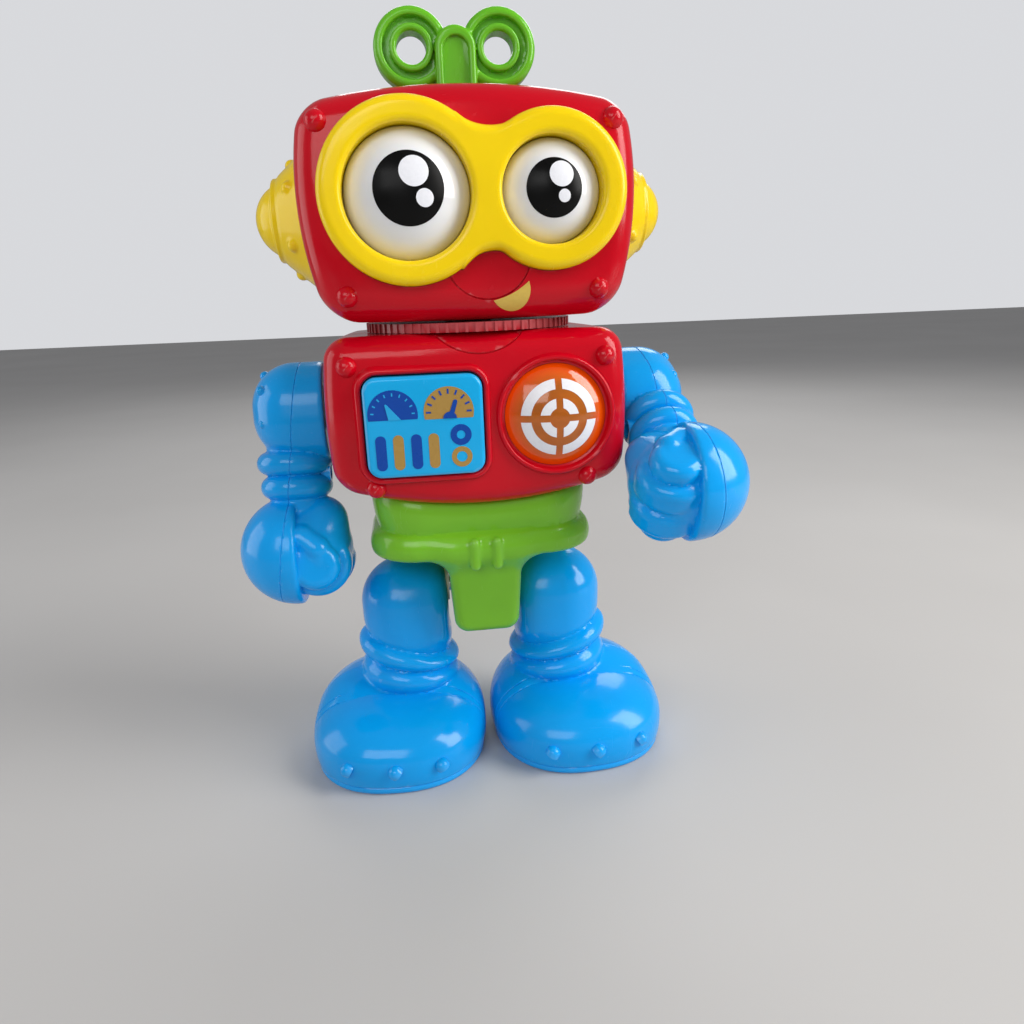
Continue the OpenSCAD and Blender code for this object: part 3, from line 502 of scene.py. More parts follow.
def plated(name, grid, depth_at):
    """Thin closed plate over a grid of [x, z] points; depth_at gives the surface's y there."""
    rows, columns = grid.shape[:2]
    flat = grid.reshape(-1, 2)
    y = depth_at(flat[:, 0], flat[:, 1])
    front = np.stack([flat[:, 0], y - PRINT_LIFT, flat[:, 1]], axis=1)
    back = np.stack([flat[:, 0], y + PRINT_SINK, flat[:, 1]], axis=1)
    faces = []
    for i, j in product(range(rows - 1), range(columns - 1)):
        a = i * columns + j
        faces.append([a, a + 1, a + columns + 1, a + columns])
    edge = [j for j in range(columns)] + [i * columns + columns - 1 for i in range(1, rows)]
    edge += [(rows - 1) * columns + j for j in range(columns - 2, -1, -1)]
    edge += [i * columns for i in range(rows - 2, 0, -1)]
    n = len(flat)
    faces += [[n + v for v in f[::-1]] for f in faces]
    faces += [[a, n + a, n + b, b] for a, b in zip(edge, edge[1:] + edge[:1])]
    piece = new_object(name, np.concatenate([front, back]), faces)

    def change(bm):
        bmesh.ops.remove_doubles(bm, verts=bm.verts[:], dist=1e-7)
        bmesh.ops.recalc_face_normals(bm, faces=bm.faces[:])

    return edited(piece, change)


def disc(name, x, z, r, depth_at, inner=0.0, rows=10, columns=96):
    """Round or ring-shaped print."""
    angles = np.arange(columns) * tau / columns
    radii = np.linspace(inner or 0.02, r, rows)
    loops = []
    for lift, run in ((-PRINT_LIFT, radii), (PRINT_SINK, radii[::-1])):
        for radius in run:
            px, pz = x + radius * np.cos(angles), z + radius * np.sin(angles)
            loops.append(np.stack([px, depth_at(px, pz) + lift, pz], axis=1))
    return stacked(name, loops, ends=not inner)


# ---- Finishes -----------------------------------------------------------------------------------


class Tree:
    """Short way to add nodes to a material and join them."""

    def __init__(self, name):
        self.material = bpy.data.materials.new(name)
        self.material.use_nodes = True
        self.nodes = self.material.node_tree.nodes
        self.links = self.material.node_tree.links
        self.nodes.clear()
        self.surface = self.nodes.new("ShaderNodeBsdfPrincipled")
        output = self.nodes.new("ShaderNodeOutputMaterial")
        self.links.new(self.surface.outputs[0], output.inputs[0])
        self.where = self.nodes.new("ShaderNodeTexCoord").outputs["Object"]

    def feed(self, socket, value):
        if isinstance(value, bpy.types.NodeSocket):
            self.links.new(value, socket)
        else:
            socket.default_value = value

    def add(self, kind, inputs=(), **settings):
        node = self.nodes.new(kind)
        for key, value in settings.items():
            setattr(node, key, value)
        for key, value in dict(inputs).items():
            self.feed(node.inputs[key], value)
        return node

    def noise(self, scale, detail=2.0, stretch=(1, 1, 1), rough=0.5):
        """Noise value between 0 and 1; scale is in repeats per metre."""
        spread = self.add("ShaderNodeMapping", {"Vector": self.where, "Scale": stretch}).outputs[0]
        made = self.add("ShaderNodeTexNoise", {"Vector": spread, "Scale": scale, "Detail": detail,
                                               "Roughness": rough})
        return made.outputs["Fac"]

    def spread(self, value, low, high, to_low, to_high):
        """Value mapped from one range to another, held at the ends."""
        made = self.add("ShaderNodeMapRange", {"Value": value, "From Min": low, "From Max": high,
                                               "To Min": to_low, "To Max": to_high})
        return made.outputs[0]

    def mix(self, share, a, b, how="MIX"):
        """Colour between a and b."""
        node = self.add("ShaderNodeMix", data_type="RGBA", blend_type=how)
        self.feed(node.inputs[0], share)
        self.feed(node.inputs[6], a)
        self.feed(node.inputs[7], b)
        return node.outputs[2]

    def sum(self, a, b, how="ADD"):
        node = self.add("ShaderNodeMath", operation=how)
        self.feed(node.inputs[0], a)
        self.feed(node.inputs[1], b)
        return node.outputs[0]

    def worn(self):
        """1 along the sharpest edges, 0 elsewhere."""
        point = self.add("ShaderNodeNewGeometry").outputs["Pointiness"]
        return self.spread(point, 0.53, 0.62, 0.0, 1.0)

    def bump(self, layers):
        """Surface normal from layers of [height, depth in metres]."""
        normal = None
        for height, depth in layers:
            inputs = {"Height": height, "Distance": depth, "Strength": 1.0}
            if normal is not None:
                inputs["Normal"] = normal
            normal = self.add("ShaderNodeBump", inputs).outputs[0]
        self.feed(self.surface.inputs["Normal"], normal)

    def set(self, **values):
        for key, value in values.items():
            self.feed(self.surface.inputs[key.replace("_", " ")], value)


def rgba(colour, gain=1.0):
    return (*[min(c * gain, 1.0) for c in colour], 1.0)


def plastic(name, colour, rough=0.14, coat=0.15, depth=0.0, wear=0.2, grain=0.0, gloss=0.34):
    """Moulded plastic: flow marks, rubbed sheen, hairline scratches and paler edges."""
    tree = Tree(name)
    flow = tree.noise(9, 3, (1, 1, 2.2))
    mottle = tree.noise(70, 3)
    smudge = tree.noise(26, 5, rough=0.62)
    hair = tree.noise(260, 2, (1, 9, 0.35))
    cross = tree.noise(240, 2, (8, 0.5, 0.6))
    body = tree.mix(tree.spread(flow, 0.3, 0.7, 0.0, 1.0), rgba(colour, 0.9), rgba(colour, 1.08))
    body = tree.mix(tree.spread(mottle, 0.35, 0.75, 0.0, 0.12), body, rgba(colour, 0.7))
    pale = rgba([c + (1 - c) * 0.35 for c in colour])
    body = tree.mix(tree.sum(tree.worn(), wear, "MULTIPLY"), body, pale)
    hair = tree.spread(hair, 0.66, 0.74, 0.0, 1.0)
    cross = tree.spread(cross, 0.68, 0.76, 0.0, 1.0)
    scratch = tree.sum(hair, cross, "MAXIMUM")
    smudge = tree.spread(smudge, 0.35, 0.75, rough * 0.75, rough * 1.7)
    sheen = tree.sum(smudge, tree.sum(scratch, 0.1, "MULTIPLY"))
    tree.set(Base_Color=body, Roughness=sheen, Specular_IOR_Level=gloss)
    tree.set(Coat_Weight=coat, Coat_Roughness=0.04)
    if depth:
        tree.set(Subsurface_Weight=depth, Subsurface_Scale=0.004)
        tree.surface.inputs["Subsurface Radius"].default_value = (1.0, 0.6, 0.3)
    tree.bump([(tree.noise(95, 2), 0.00006), (tree.noise(900, 2), 0.000004 + grain * 0.00006),
               (scratch, -0.000006)])
    return tree.material


def printed(name, colour, gloss=0.25):
    """Pad-printed ink: slightly uneven cover and a satin sheen."""
    tree = Tree(name)
    cover = tree.noise(900, 4, rough=0.7)
    pool = tree.noise(160, 2)
    body = tree.mix(tree.spread(cover, 0.4, 0.8, 0.0, 0.25), rgba(colour), rgba(colour, 0.75))
    sheen = tree.spread(pool, 0.3, 0.7, 0.24, 0.38)
    tree.set(Base_Color=body, Roughness=sheen, Specular_IOR_Level=gloss)
    tree.bump([(cover, 0.00001)])
    return tree.material


def metal(name, colour, rough=0.3, brushed=True):
    """Plated steel with fine machining lines and dull patches."""
    tree = Tree(name)
    lines = tree.noise(700, 2, (1, 1, 14) if brushed else (1, 1, 1))
    patch = tree.noise(120, 4, rough=0.7)
    body = tree.mix(tree.spread(patch, 0.35, 0.75, 0.0, 0.5), rgba(colour), rgba(colour, 0.62))
    sheen = tree.spread(lines, 0.3, 0.7, rough * 0.7, rough * 1.4)
    tree.set(Base_Color=body, Metallic=1.0, Roughness=sheen)
    tree.bump([(lines, 0.00001)])
    return tree.material


def tinted(name, colour, rim, centre):
    """Clear tinted plastic with flow streaks; its redder rim round centre is painted refracted light."""
    tree = Tree(name)
    streak = tree.noise(60, 3, (1, 1, 3))
    away = tree.add("ShaderNodeVectorMath", {0: tree.where, 1: centre}, operation="DISTANCE")
    share = tree.spread(away.outputs["Value"], 0.011, 0.0185, 0.0, 1.0)
    body = tree.mix(tree.spread(streak, 0.3, 0.7, 0.0, 1.0), rgba(colour), rgba(colour, 0.8))
    # Painted light: the rim colour stands for light refracted at the lens's edge.
    body = tree.mix(share, body, rgba(rim))
    tree.set(Base_Color=body, Roughness=tree.spread(streak, 0.3, 0.7, 0.05, 0.12), IOR=1.46,
             Transmission_Weight=tree.spread(share, 0.0, 1.0, 0.5, 0.1),
             Coat_Weight=0.3, Coat_Roughness=0.03)
    tree.bump([(streak, 0.00006)])
    return tree.material


def board(name, colour):
    """Solder-masked board with faint tracks."""
    tree = Tree(name)
    tracks = tree.add("ShaderNodeTexBrick", {
        "Vector": tree.where, "Scale": 180.0, "Mortar Size": 0.06, "Color1": rgba(colour),
        "Color2": rgba(colour, 0.8), "Mortar": rgba(colour, 1.6)})
    haze = tree.noise(300, 3)
    tree.set(Base_Color=tracks.outputs["Color"], Roughness=tree.spread(haze, 0.3, 0.7, 0.25, 0.45))
    tree.bump([(tracks.outputs["Fac"], 0.00003)])
    return tree.material


RED = (0.56, 0.001, 0.011)
# Slot: the material's name, its colour and what differs from plain glossy plastic
PLASTICS = {
    "red_plastic": ("moulded_red", RED, dict(gloss=0.24, coat=0.1)),
    "dark_red_plastic": ("moulded_dark_red", (0.42, 0.001, 0.010), dict(rough=0.18, gloss=0.24)),
    "yellow_plastic": ("moulded_yellow", (0.95, 0.66, 0.001),
                       dict(rough=0.2, depth=0.06, gloss=0.26)),
    "green_plastic": ("moulded_green", (0.135, 0.50, 0.014), dict(rough=0.2, depth=0.1)),
    "apple_green_plastic": ("moulded_apple_green", (0.19, 0.52, 0.022),
                            dict(rough=0.18, depth=0.12)),
    "blue_plastic": ("moulded_blue", (0.001, 0.35, 0.86), dict(rough=0.16, gloss=0.28)),
    "button_blue_plastic": ("moulded_button_blue", (0.006, 0.40, 0.80),
                            dict(rough=0.16, gloss=0.28)),
    "white_plastic": ("moulded_white", (0.82, 0.83, 0.86), dict(rough=0.1, coat=0.4, depth=0.1)),
    "ivory_plastic": ("moulded_ivory", (0.72, 0.68, 0.58), dict(rough=0.35, coat=0.0, grain=0.4)),
    "black_plastic": ("moulded_black", (0.018, 0.018, 0.02), dict(rough=0.38, coat=0.0, grain=0.5)),
    "led_white": ("led_body", (0.85, 0.84, 0.76), dict(rough=0.12, depth=0.2)),
    "cone_paper": ("cone_paper", (0.03, 0.028, 0.026), dict(rough=0.7, coat=0.0, grain=1.0)),
    "cell_wrap": ("cell_wrap", (0.12, 0.13, 0.14), dict(rough=0.28, coat=0.3)),
    "wire_red": ("wire_sleeve", (0.5, 0.02, 0.02), dict(rough=0.4, coat=0.1)),
}
# The second amber is painted light: the redder light refracted at the lens's edge.
AMBER, AMBER_RIM_LIGHT = (0.90, 0.24, 0.015), (1.0, 0.085, 0.0)
finishes = {slot: plastic(name, colour, **look) for slot, (name, colour, look) in PLASTICS.items()}
finishes["amber_lens"] = tinted("tinted_amber", AMBER, AMBER_RIM_LIGHT, LENS_CROWN_SPOT)
finishes["steel"] = metal("plated_steel", (0.62, 0.62, 0.64))
finishes["contact_metal"] = metal("plated_contact", (0.72, 0.66, 0.5), brushed=False)
finishes["board_green"] = board("solder_mask", (0.01, 0.12, 0.04))
INKS = {
    "navy": printed("ink_navy", (0.004, 0.06, 0.36)),
    "gold": printed("ink_gold", (0.40, 0.24, 0.06)),
    "white": printed("ink_white", (0.84, 0.85, 0.90)),
    "black": printed("ink_black", (0.003, 0.003, 0.003), gloss=0.12),
    "sky": printed("ink_sky", (0.02, 0.38, 0.74)),
    "smile": printed("ink_smile", (0.72, 0.50, 0.10)),
}


def finished(piece, body, finish, *nodes, sharp=38):
    """Gives a piece its material, shading and body, and hides the CAD nodes that it stands for."""
    material = finishes.get(finish) or INKS[finish]
    piece.data.transform(Matrix.Translation(NECK_AXIS))
    piece.data.materials.clear()
    piece.data.materials.append(material)
    piece.data.shade_smooth()
    piece.data.set_sharp_from_angle(angle=radians(sharp))
    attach(piece, body)
    if nodes:
        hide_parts(*nodes)
    return piece


# ---- Head ---------------------------------------------------------------------------------------

# Each eye's middle, radius and how far forward its crown reaches
EYE_SPOTS = {}
for eye_name in ("right", "left"):
    eye_low, eye_high = box_mm(eye_name + "_eye")
    EYE_SPOTS[eye_name] = (*middle_mm(eye_name + "_eye"),
                           (eye_high.x - eye_low.x) / 2 - FLANGE, -eye_low.y)
BEZEL_FRONT = -box_mm("goggle_bezel")[0].y
BEZEL_BACK = -box_mm("goggle_bezel")[1].y
RIM_R = {"right": 28.5, "left": 24.8}
RIM_ROUND = 3.2
BRIDGE_X = 6.8
BRIDGE_TOP_R = 18
BRIDGE_LOW_R = 13


# Radii of curvature of the head's faces: the cheeks up and down, the face across and up, the
# crown across, the chin across, and the slight bulge of cheeks and crown from front to back
CHEEK_BULGE = 113
FACE_BULGE = (520, 280)
CROWN_BULGE = 260
CHIN_BULGE = 1500
DEPTH_BULGE = 700
# Rounding of the head's edges at the face, the back, the crown and the chin
HEAD_ROUND = (8.5, 13, 8, 10.5)


def head_field(x, y, z):
    up = z - HEAD_MID_Z
    form = pillow(abs(x) - HEAD_HALF_W, z - FACE_Z, CHEEK_BULGE, y + 30, DEPTH_BULGE)
    across, along = FACE_BULGE
    front = pillow(-y - HEAD_FRONT, x, across, up, along)
    back = pillow(y - HEAD_BACK, x, across, up, along)
    top = pillow(z - HEAD_TOP - CROWN_RISE, x, CROWN_BULGE, y + 25, DEPTH_BULGE)
    low = pillow(HEAD_BOTTOM - z, x, CHIN_BULGE)
    for face, r in zip((front, back, top, low), HEAD_ROUND):
        form = common(form, face, r)
    return form


def goggle_outline(x, z, grow=0.0):
    """Flat field of the two joined rims."""
    right_x, eye_z = EYE_SPOTS["right"][:2]
    left_x = EYE_SPOTS["left"][0]
    right = length(x - right_x, z - eye_z) - RIM_R["right"] - grow
    left = length(x - left_x, z - eye_z) - RIM_R["left"] - grow
    over = BRIDGE_TOP_R - grow - length(x - BRIDGE_X, z - eye_z - 19.4 - BRIDGE_TOP_R)
    under = BRIDGE_LOW_R - grow - length(x - BRIDGE_X, z - eye_z + 18 + BRIDGE_LOW_R)
    reach = np.maximum(abs(x - 5.4) - 9.6, abs(z - eye_z) - 25)
    bridge = np.maximum(np.maximum(over, under), reach)
    return joined(np.minimum(right, left), bridge, 0.6)


def bezel_field(x, y, z):
    form = common(goggle_outline(x, z), -y - BEZEL_FRONT, RIM_ROUND)
    for eye_x, eye_z, eye_r, _ in EYE_SPOTS.values():
        form = carved(form, length(x - eye_x, z - eye_z) - eye_r - 0.2, 1.8)
    return common(form, y + BEZEL_BACK, 0.4)


def bezel_window_field(x, y, z):
    return np.maximum(goggle_outline(x, z, 0.15), abs(y + 44) - 9)


# A shell's screw post, the sleeve that meets it, the well for the screw and the gap at the seam
POST_R = 3.4
SLEEVE_R = 4.4
WELL_R = 3.1
SEAM_GAP = 0.3


def screw_sleeve(piece, x, z, out, head_y, clear):
    """Adds a sleeve from the seam back to out, bored for the screw from head_y to the outside."""
    plus(piece, rod(SLEEVE_R, SEAM_GAP, out, x, z))
    minus(piece, rod(WELL_R, head_y, clear, x, z))


HEAD_SCREWS = [(-36, 244.5), (36, 244.5), (-40, 189), (40, 189)]
HEAD_RIVETS = [(47.7, 243.2), (42.8, 190)]
NOSE = (4.5, 202.2, 14.7)


def stepped(piece, mark, shift):
    """Sinks the part of a surface inside the mark by shift, keeping its curve."""
    plug = copy_of(piece, "plug")
    with_parts(plug, copy_of(mark, "mark"), "INTERSECT")
    minus(piece, mark)
    placed(plug, Matrix.Translation((0, shift, 0)))
    return plus(piece, plug)


def groove(x, z, r, depth_at, half_w=0.45, depth=0.9, columns=120):
    """Ring-shaped tool that scores a fine circle into a surface."""
    angles = np.arange(columns) * tau / columns
    loops = []
    tip = half_w / 3
    section = ((r - half_w, -1.0), (r + half_w, -1.0), (r + tip, depth), (r - tip, depth))
    for radius, sink in section:
        px, pz = x + radius * np.cos(angles), z + radius * np.sin(angles)
        loops.append(np.stack([px, depth_at(px, pz) + sink, pz], axis=1))
    return stacked("groove", loops, ends=False)


def sunk_circle(piece, mark, back, depth_at):
    """Scores a circle [x, z, radius] into a front surface and sinks its inside a little."""
    x, z, r = mark
    stepped(piece, turned("mark", [(r, -50), (r, back)], (x, 0, z), BACKWARD, 96), 0.35)
    minus(piece, groove(x, z, r, depth_at))


def rivets(corners, depth_at, sunk):
    """Domed corner rivets on both sides of a front surface, seated sunk behind it."""
    profile = button_head(3.6, 2.9)
    spots = [(side * x, z) for x, z in corners for side in (-1, 1)]
    return [turned("rivet", profile, (x, float(depth_at(x, z)) + sunk, z), FORWARD, 32)
            for x, z in spots]


def face_depth(field, guess=-40.0):
    """Function giving the y where a field's front surface is, at any x, z."""
    def depth(x, z):
        x = np.asarray(x, float)
        z = np.asarray(z, float)
        y = np.full(x.shape, guess)
        for _ in range(12):
            h = 0.05
            value = field(x, y, z)
            slope = (field(x, y + h, z) - value) / h
            y = y - np.clip(value / np.where(abs(slope) < 0.2, -0.2, slope), -4, 4)
        return y
    return depth


head_depth = face_depth(head_field)


def build_head():
    whole = moulded("head", head_field, (-62, -48, 176), (62, 43, 263), 1.15, WALL)
    front, rear = halves(whole, "head")
    window = moulded("window", bezel_window_field, (-52, -54, 190), (54, -34, 252), 0.8)
    shaft = turned("shaft", [(6.1, 250), (6.1, 262)], steps=32)
    post = turned("post", [(5.1, 176), (5.1, 186)], steps=32)
    for half in (front, rear):
        minus(half, copy_of(shaft, "tool"), copy_of(post, "tool"))
        for side in (-1, 1):
            spot = (side * 40, 0, ear_z)
            minus(half, turned("ear_hole", [(25.9, 0), (25.9, 14), (14.2, 28), (14.2, 40)], spot,
                               Matrix.Rotation(side * pi / 2, 4, "Y"), 72))
    dropped(shaft)
    dropped(post)
    sunk_circle(front, NOSE, 0, head_depth)
    minus(front, window)
    for x, z in HEAD_SCREWS:
        plus(front, rod(POST_R, -38.5, -SEAM_GAP, x, z))
        screw_sleeve(rear, x, z, HEAD_BACK - 3, 22, HEAD_BACK + 9)
    plus(front, *rivets(HEAD_RIVETS, head_depth, 0.3))
    finished(front, "head", "red_plastic", "head_front_shell")
    finished(rear, "head", "red_plastic", "head_rear_shell")


# How far forward an eye's edge and the front of its flange lie
EYE_EDGE = 41
EYE_BACK = 37.9
# Pupil from the eye's centre, then two glints from the pupil's centre: across, up, radius
PUPILS = {
    "right": ((0.5, 0.8, 11.2), (1.9, 4.9, 4.65), (4.9, -3.0, 2.75)),
    "left": ((0.0, 0.3, 9.1), (2.2, 4.0, 3.95), (3.0, -2.6, 2.0)),
}


def build_face():
    bezel = moulded("goggles", bezel_field, (-51, -50, 190), (53, -36.5, 252), 0.62)
    finished(bezel, "head", "yellow_plastic", "goggle_bezel")
    for name, (x, z, r, crown) in EYE_SPOTS.items():
        profile, sphere, middle = domed_cover(r, crown - EYE_EDGE, crown, WALL, EYE_BACK,
                                              FLANGE, 10)
        eye = turned(name + "_eye_dome", profile, (x, 0, z), FORWARD, 128)
        finished(eye, "head", "white_plastic", name + "_eye")

        def dome(px, pz, x=x, z=z, middle=middle, sphere=sphere):
            return -(middle + np.sqrt(sphere ** 2 - (px - x) ** 2 - (pz - z) ** 2))

        (dx, dz, pupil_r), *glints = PUPILS[name]
        finished(disc(name + "_pupil", x + dx, z + dz, pupil_r, dome), "head", "black")

        def over(px, pz, dome=dome):
            return dome(px, pz) - 0.1

        for size, (gx, gz, glint_r) in zip(("big", "small"), glints):
            glint = disc(f"{name}_glint_{size}", x + dx + gx, z + dz + gz, glint_r, over)
            finished(glint, "head", "white")


SMILE_TIPS = ((6.0, 187.0), (18.2, 193.0))


def bowed(tips, sag, fullness, steps=33):
    """Points of a curve between two tips that sags downwards; below 1, fullness squares it."""
    (ax, az), (bx, bz) = tips
    t = np.linspace(0, 1, steps)
    normal = np.array([bz - az, -(bx - ax)]) / hypot(bx - ax, bz - az)
    points = np.stack([ax + (bx - ax) * t, az + (bz - az) * t], axis=1)
    return points + normal * (sag * (4 * t * (1 - t)) ** fullness)[:, None]


def build_smile():
    over, under = bowed(SMILE_TIPS, 0.9, 1), bowed(SMILE_TIPS, 6.9, 0.62)
    share = np.linspace(0, 1, 9)[:, None, None]
    grid = over * (1 - share) + under * share
    smile = plated("smile", grid, lambda x, z: head_depth(x, z))
    finished(smile, "head", "smile")


ear_z = middle_mm("left_ear")[1]


def ear_field(x, y, z):
    """Left ear: cone, ledge and dome with a ring of small raised dots on the cone."""
    rho = length(y, z - ear_z)
    slope = atan2(68 - 54, 25.8 - 14)
    cone = (rho - 25.8) * sin(slope) + (x - 54) * cos(slope)
    form = common(cone, rho - 25.8, 2.5)
    form = common(form, x - 66.8, 1.2)
    form = common(form, 50 - x, 0.5)
    collar = common(rho - 14.6, x - 68.6, 0.9)
    form = joined(form, np.maximum(collar, 60 - x), 0.8)
    form = joined(form, ball((x, y, z - ear_z), (62.4, 0, 0), 13.6), 0.9)
    for a in range(30, 360, 60):
        dot = (61.3, 18.6 * cos(radians(a)), 18.6 * sin(radians(a)))
        form = joined(form, ball((x, y, z - ear_z), dot, 2.4), 0.5)
    return form


def build_ears():
    low, high = (48, -28.5, ear_z - 28), (78, 28, ear_z + 28)
    left = moulded("left_ear_cup", ear_field, low, high, 0.75, 1.8)
    right = placed(copy_of(left, "right_ear_cup"), Matrix.Scale(-1, 4, (1, 0, 0)))
    finished(left, "head", "yellow_plastic", "left_ear")
    finished(right, "head", "yellow_plastic", "right_ear")


# ---- Winding key --------------------------------------------------------------------------------

key_high = box_mm("winding_key")[1]
KEY_RING_R = 13.3
KEY_RING_X = key_high.x - KEY_RING_R
KEY_Z = key_high.z - KEY_RING_R
KEY_HALF_T = key_high.y


def key_field(x, y, z):
    rho = length(abs(x) - KEY_RING_X, z - KEY_Z)
    ring = common(rho - KEY_RING_R, abs(y) - KEY_HALF_T + 1.6, 2.2)
    groove = np.maximum(abs(rho - 8.9) - 1.25, 1.5 - abs(y))
    ring = carved(ring, groove, 0.7)
    ring = carved(ring, rho - 5.3, 1.3)
    stem = length(x, np.maximum(z - KEY_Z + 0.4, 0)) - 7.3
    stem = common(stem, HEAD_TOP + 0.6 - z, 0.4)
    stem = common(stem, abs(y) - KEY_HALF_T, 1.5)
    panel_shape = length(x, np.maximum(z - KEY_Z + 1.3, 0)) - 4.7
    recess = np.maximum(np.maximum(panel_shape, HEAD_TOP + 3.4 - z), KEY_HALF_T - 1.5 - abs(y))
    stem = carved(stem, recess, 0.6)
    form = joined(ring, stem, 0.7)
    shaft = common(length(x, y) - 6, abs(z - 250) - 6, 0.5)
    return joined(form, shaft, 0.3)


def build_key():
    key = moulded("key", key_field, (-31, -6.5, 242), (31, 6.5, 291), 0.58)
    finished(key, "key", "green_plastic", "winding_key")


# ---- Torso --------------------------------------------------------------------------------------


# Radii of curvature of the torso's flanks, chest (across and up) and top, and its edges' rounding
# at the chest, the back, the top and the waist
FLANK_BULGE = 205
CHEST_BULGE = (620, 320)
TOP_BULGE = 2600
TORSO_ROUND = (8, 10, 7.5, 7)


def torso_field(x, y, z):
    up = z - TORSO_MID_Z
    form = pillow(abs(x) - TORSO_HALF_W, up - 1, FLANK_BULGE, y + 25, DEPTH_BULGE)
    across, along = CHEST_BULGE
    front = pillow(-y - TORSO_FRONT, x, across, up, along)
    back = y - TORSO_BACK
    top = pillow(z - TORSO_TOP, x, TOP_BULGE)
    low = WAIST_MID + x * x / WAIST_BEND - z
    for face, r in zip((front, back, top, low), TORSO_ROUND):
        form = common(form, face, r)
    return form


torso_depth = face_depth(torso_field)
TORSO_SCREWS = [(-38, 169.2), (38, 169.2), (-46.4, 127), (46.4, 127)]
TORSO_RIVETS = [(45.6, 166.7), (38.8, 123.1)]
CHEST_MARK = (0.9, 190.4, 21)
door_low, door_high = box_mm("battery_door")
DOOR_X, DOOR_Z = middle_mm("battery_door")
DOOR_HALF_W = (door_high.x - door_low.x) / 2
DOOR_HALF_H = (door_high.z - door_low.z) / 2
DOOR_GAP = 0.3
DOOR_SCREW_X = middle_mm("door_screw")[0]
SPEAKER_X, SPEAKER_Z = middle_mm("speaker")
AXLE_R = 9


def button_frame():
    """Raised bead round the button, with a wall behind it that leads the button."""
    back, crest = -33.2, -TORSO_FRONT - 1.8
    bead = [(1.6 - r, crest + 1.1 - h) for r, h in arc(0, 0, 1.1, 0, 180, 10)]
    profile = [(0.5, back)] + bead + [(3.1, -39.6), (3.6, -38), (3.6, back)]
    return panel("button_frame", BUTTON_HALF_W, BUTTON_HALF_H, BUTTON_CORNER, BUTTON_X, BUTTON_Z,
                 profile, ends=False)


def lens_frame():
    """Shallow seat round the lens with a fine raised rim."""
    rim = [(20.6 - r, 40.35 + h) for r, h in arc(0, 0, 0.9, 0, 180, 10)]
    hole = LENS_R + 0.15
    profile = [(hole, 33.2), (hole, 38.6), (19.3, 38.9)] + rim + [(22.2, 38.6), (22.2, 33.2)]
    return turned("lens_frame", profile, (LENS_X, 0, LENS_Z), FORWARD, 128, ends=False)


def build_torso():
    whole = moulded("torso", torso_field, (-59, -44, 111), (59, 38, 181), 1.15, WALL)
    front, rear = halves(whole, "torso")
    for half in (front, rear):
        minus(half, turned("neck", [(25.3, 170), (25.3, 182)], steps=96))
        minus(half, along_x(AXLE_R + 0.1, -70, 70, 0, SHOULDER_Z, 48))
    sunk_circle(front, CHEST_MARK, -20,
                lambda x, z: torso_depth(x, np.minimum(z, TORSO_TOP - 1.2)))
    minus(front, panel("pocket", BUTTON_HALF_W, BUTTON_HALF_H, BUTTON_CORNER, BUTTON_X, BUTTON_Z,
                       [(BUTTON_FLANGE, -46), (BUTTON_FLANGE, -30)]))
    minus(front, turned("seat", [(20.4, 30), (20.4, 46)], (LENS_X, 0, LENS_Z), FORWARD, 96))
    plus(front, button_frame(), lens_frame())
    for x, z in TORSO_SCREWS:
        plus(front, rod(POST_R, -36, -SEAM_GAP, x, z))
        screw_sleeve(rear, x, z, TORSO_BACK - 1, 22, TORSO_BACK + 6)
    plus(front, *rivets(TORSO_RIVETS, torso_depth, -0.1))
    through = [(0, 28), (0, 40)]
    minus(rear, panel("opening", DOOR_HALF_W + DOOR_GAP, DOOR_HALF_H + DOOR_GAP, 2.2,
                      DOOR_X, DOOR_Z, through))
    minus(rear, panel("slot", 6, 2.5, 1.2, 0, 165.7, through))
    grille = [(0, 0)]
    for ring in (1, 2):
        turns = [i * pi / (3 * ring) for i in range(6 * ring)]
        grille += [(4 * ring * cos(a), 4 * ring * sin(a)) for a in turns]
    for dx, dz in grille:
        minus(rear, rod(0.9, 28, 38, SPEAKER_X + dx, SPEAKER_Z + dz, 20))
    finished(front, "trunk", "red_plastic", "torso_front_shell")
    finished(rear, "trunk", "red_plastic", "torso_rear_shell")


def build_door():
    """Battery door with eased edges, a screw well and a ribbed grip."""
    back = TORSO_BACK
    profile = [(0, back - 2.4)] + quarter_round(0.7, back, 1, 15)
    door = panel("battery_cover_door", DOOR_HALF_W, DOOR_HALF_H, 2, DOOR_X, DOOR_Z, profile)
    for i in range(-2, 3):
        grip = panel("grip", 0.6, 5, 0.55, DOOR_X + 8 + i * 2.4, DOOR_Z,
                     [(0, back - 0.6), (0, back + 0.25), (-0.2, back + 0.4)])
        plus(door, grip)
    for r, y in ((3, 32.8), (1.35, 30)):
        minus(door, rod(r, y, 40, DOOR_SCREW_X, DOOR_Z))
    finished(door, "battery_cover", "red_plastic", "battery_door")


# ---- Button, lens and their prints --------------------------------------------------------------


def build_button():
    back = -35.2
    profile = [(BUTTON_FLANGE, -33.4), (BUTTON_FLANGE, back), (0, back)]
    profile += quarter_round(1.5, BUTTON_FRONT, -1, 10)
    plate = panel("button_plate", BUTTON_HALF_W, BUTTON_HALF_H, BUTTON_CORNER, BUTTON_X, BUTTON_Z,
                  profile)
    plus(plate, rod(3, back, -24.6, BUTTON_X, BUTTON_Z))
    finished(plate, "button", "button_blue_plastic", "control_button")


def flat_at(depth):
    """Function giving the same depth everywhere."""
    return lambda x, z: np.full(np.shape(x), depth)


def button_print(name, grid, ink, layer=0):
    """Ink on the button's flat front; later layers lie a little further out."""
    grid = grid + np.array([BUTTON_X, BUTTON_Z])
    return finished(plated(name, grid, flat_at(BUTTON_FRONT - 0.08 * layer)), "button", ink)


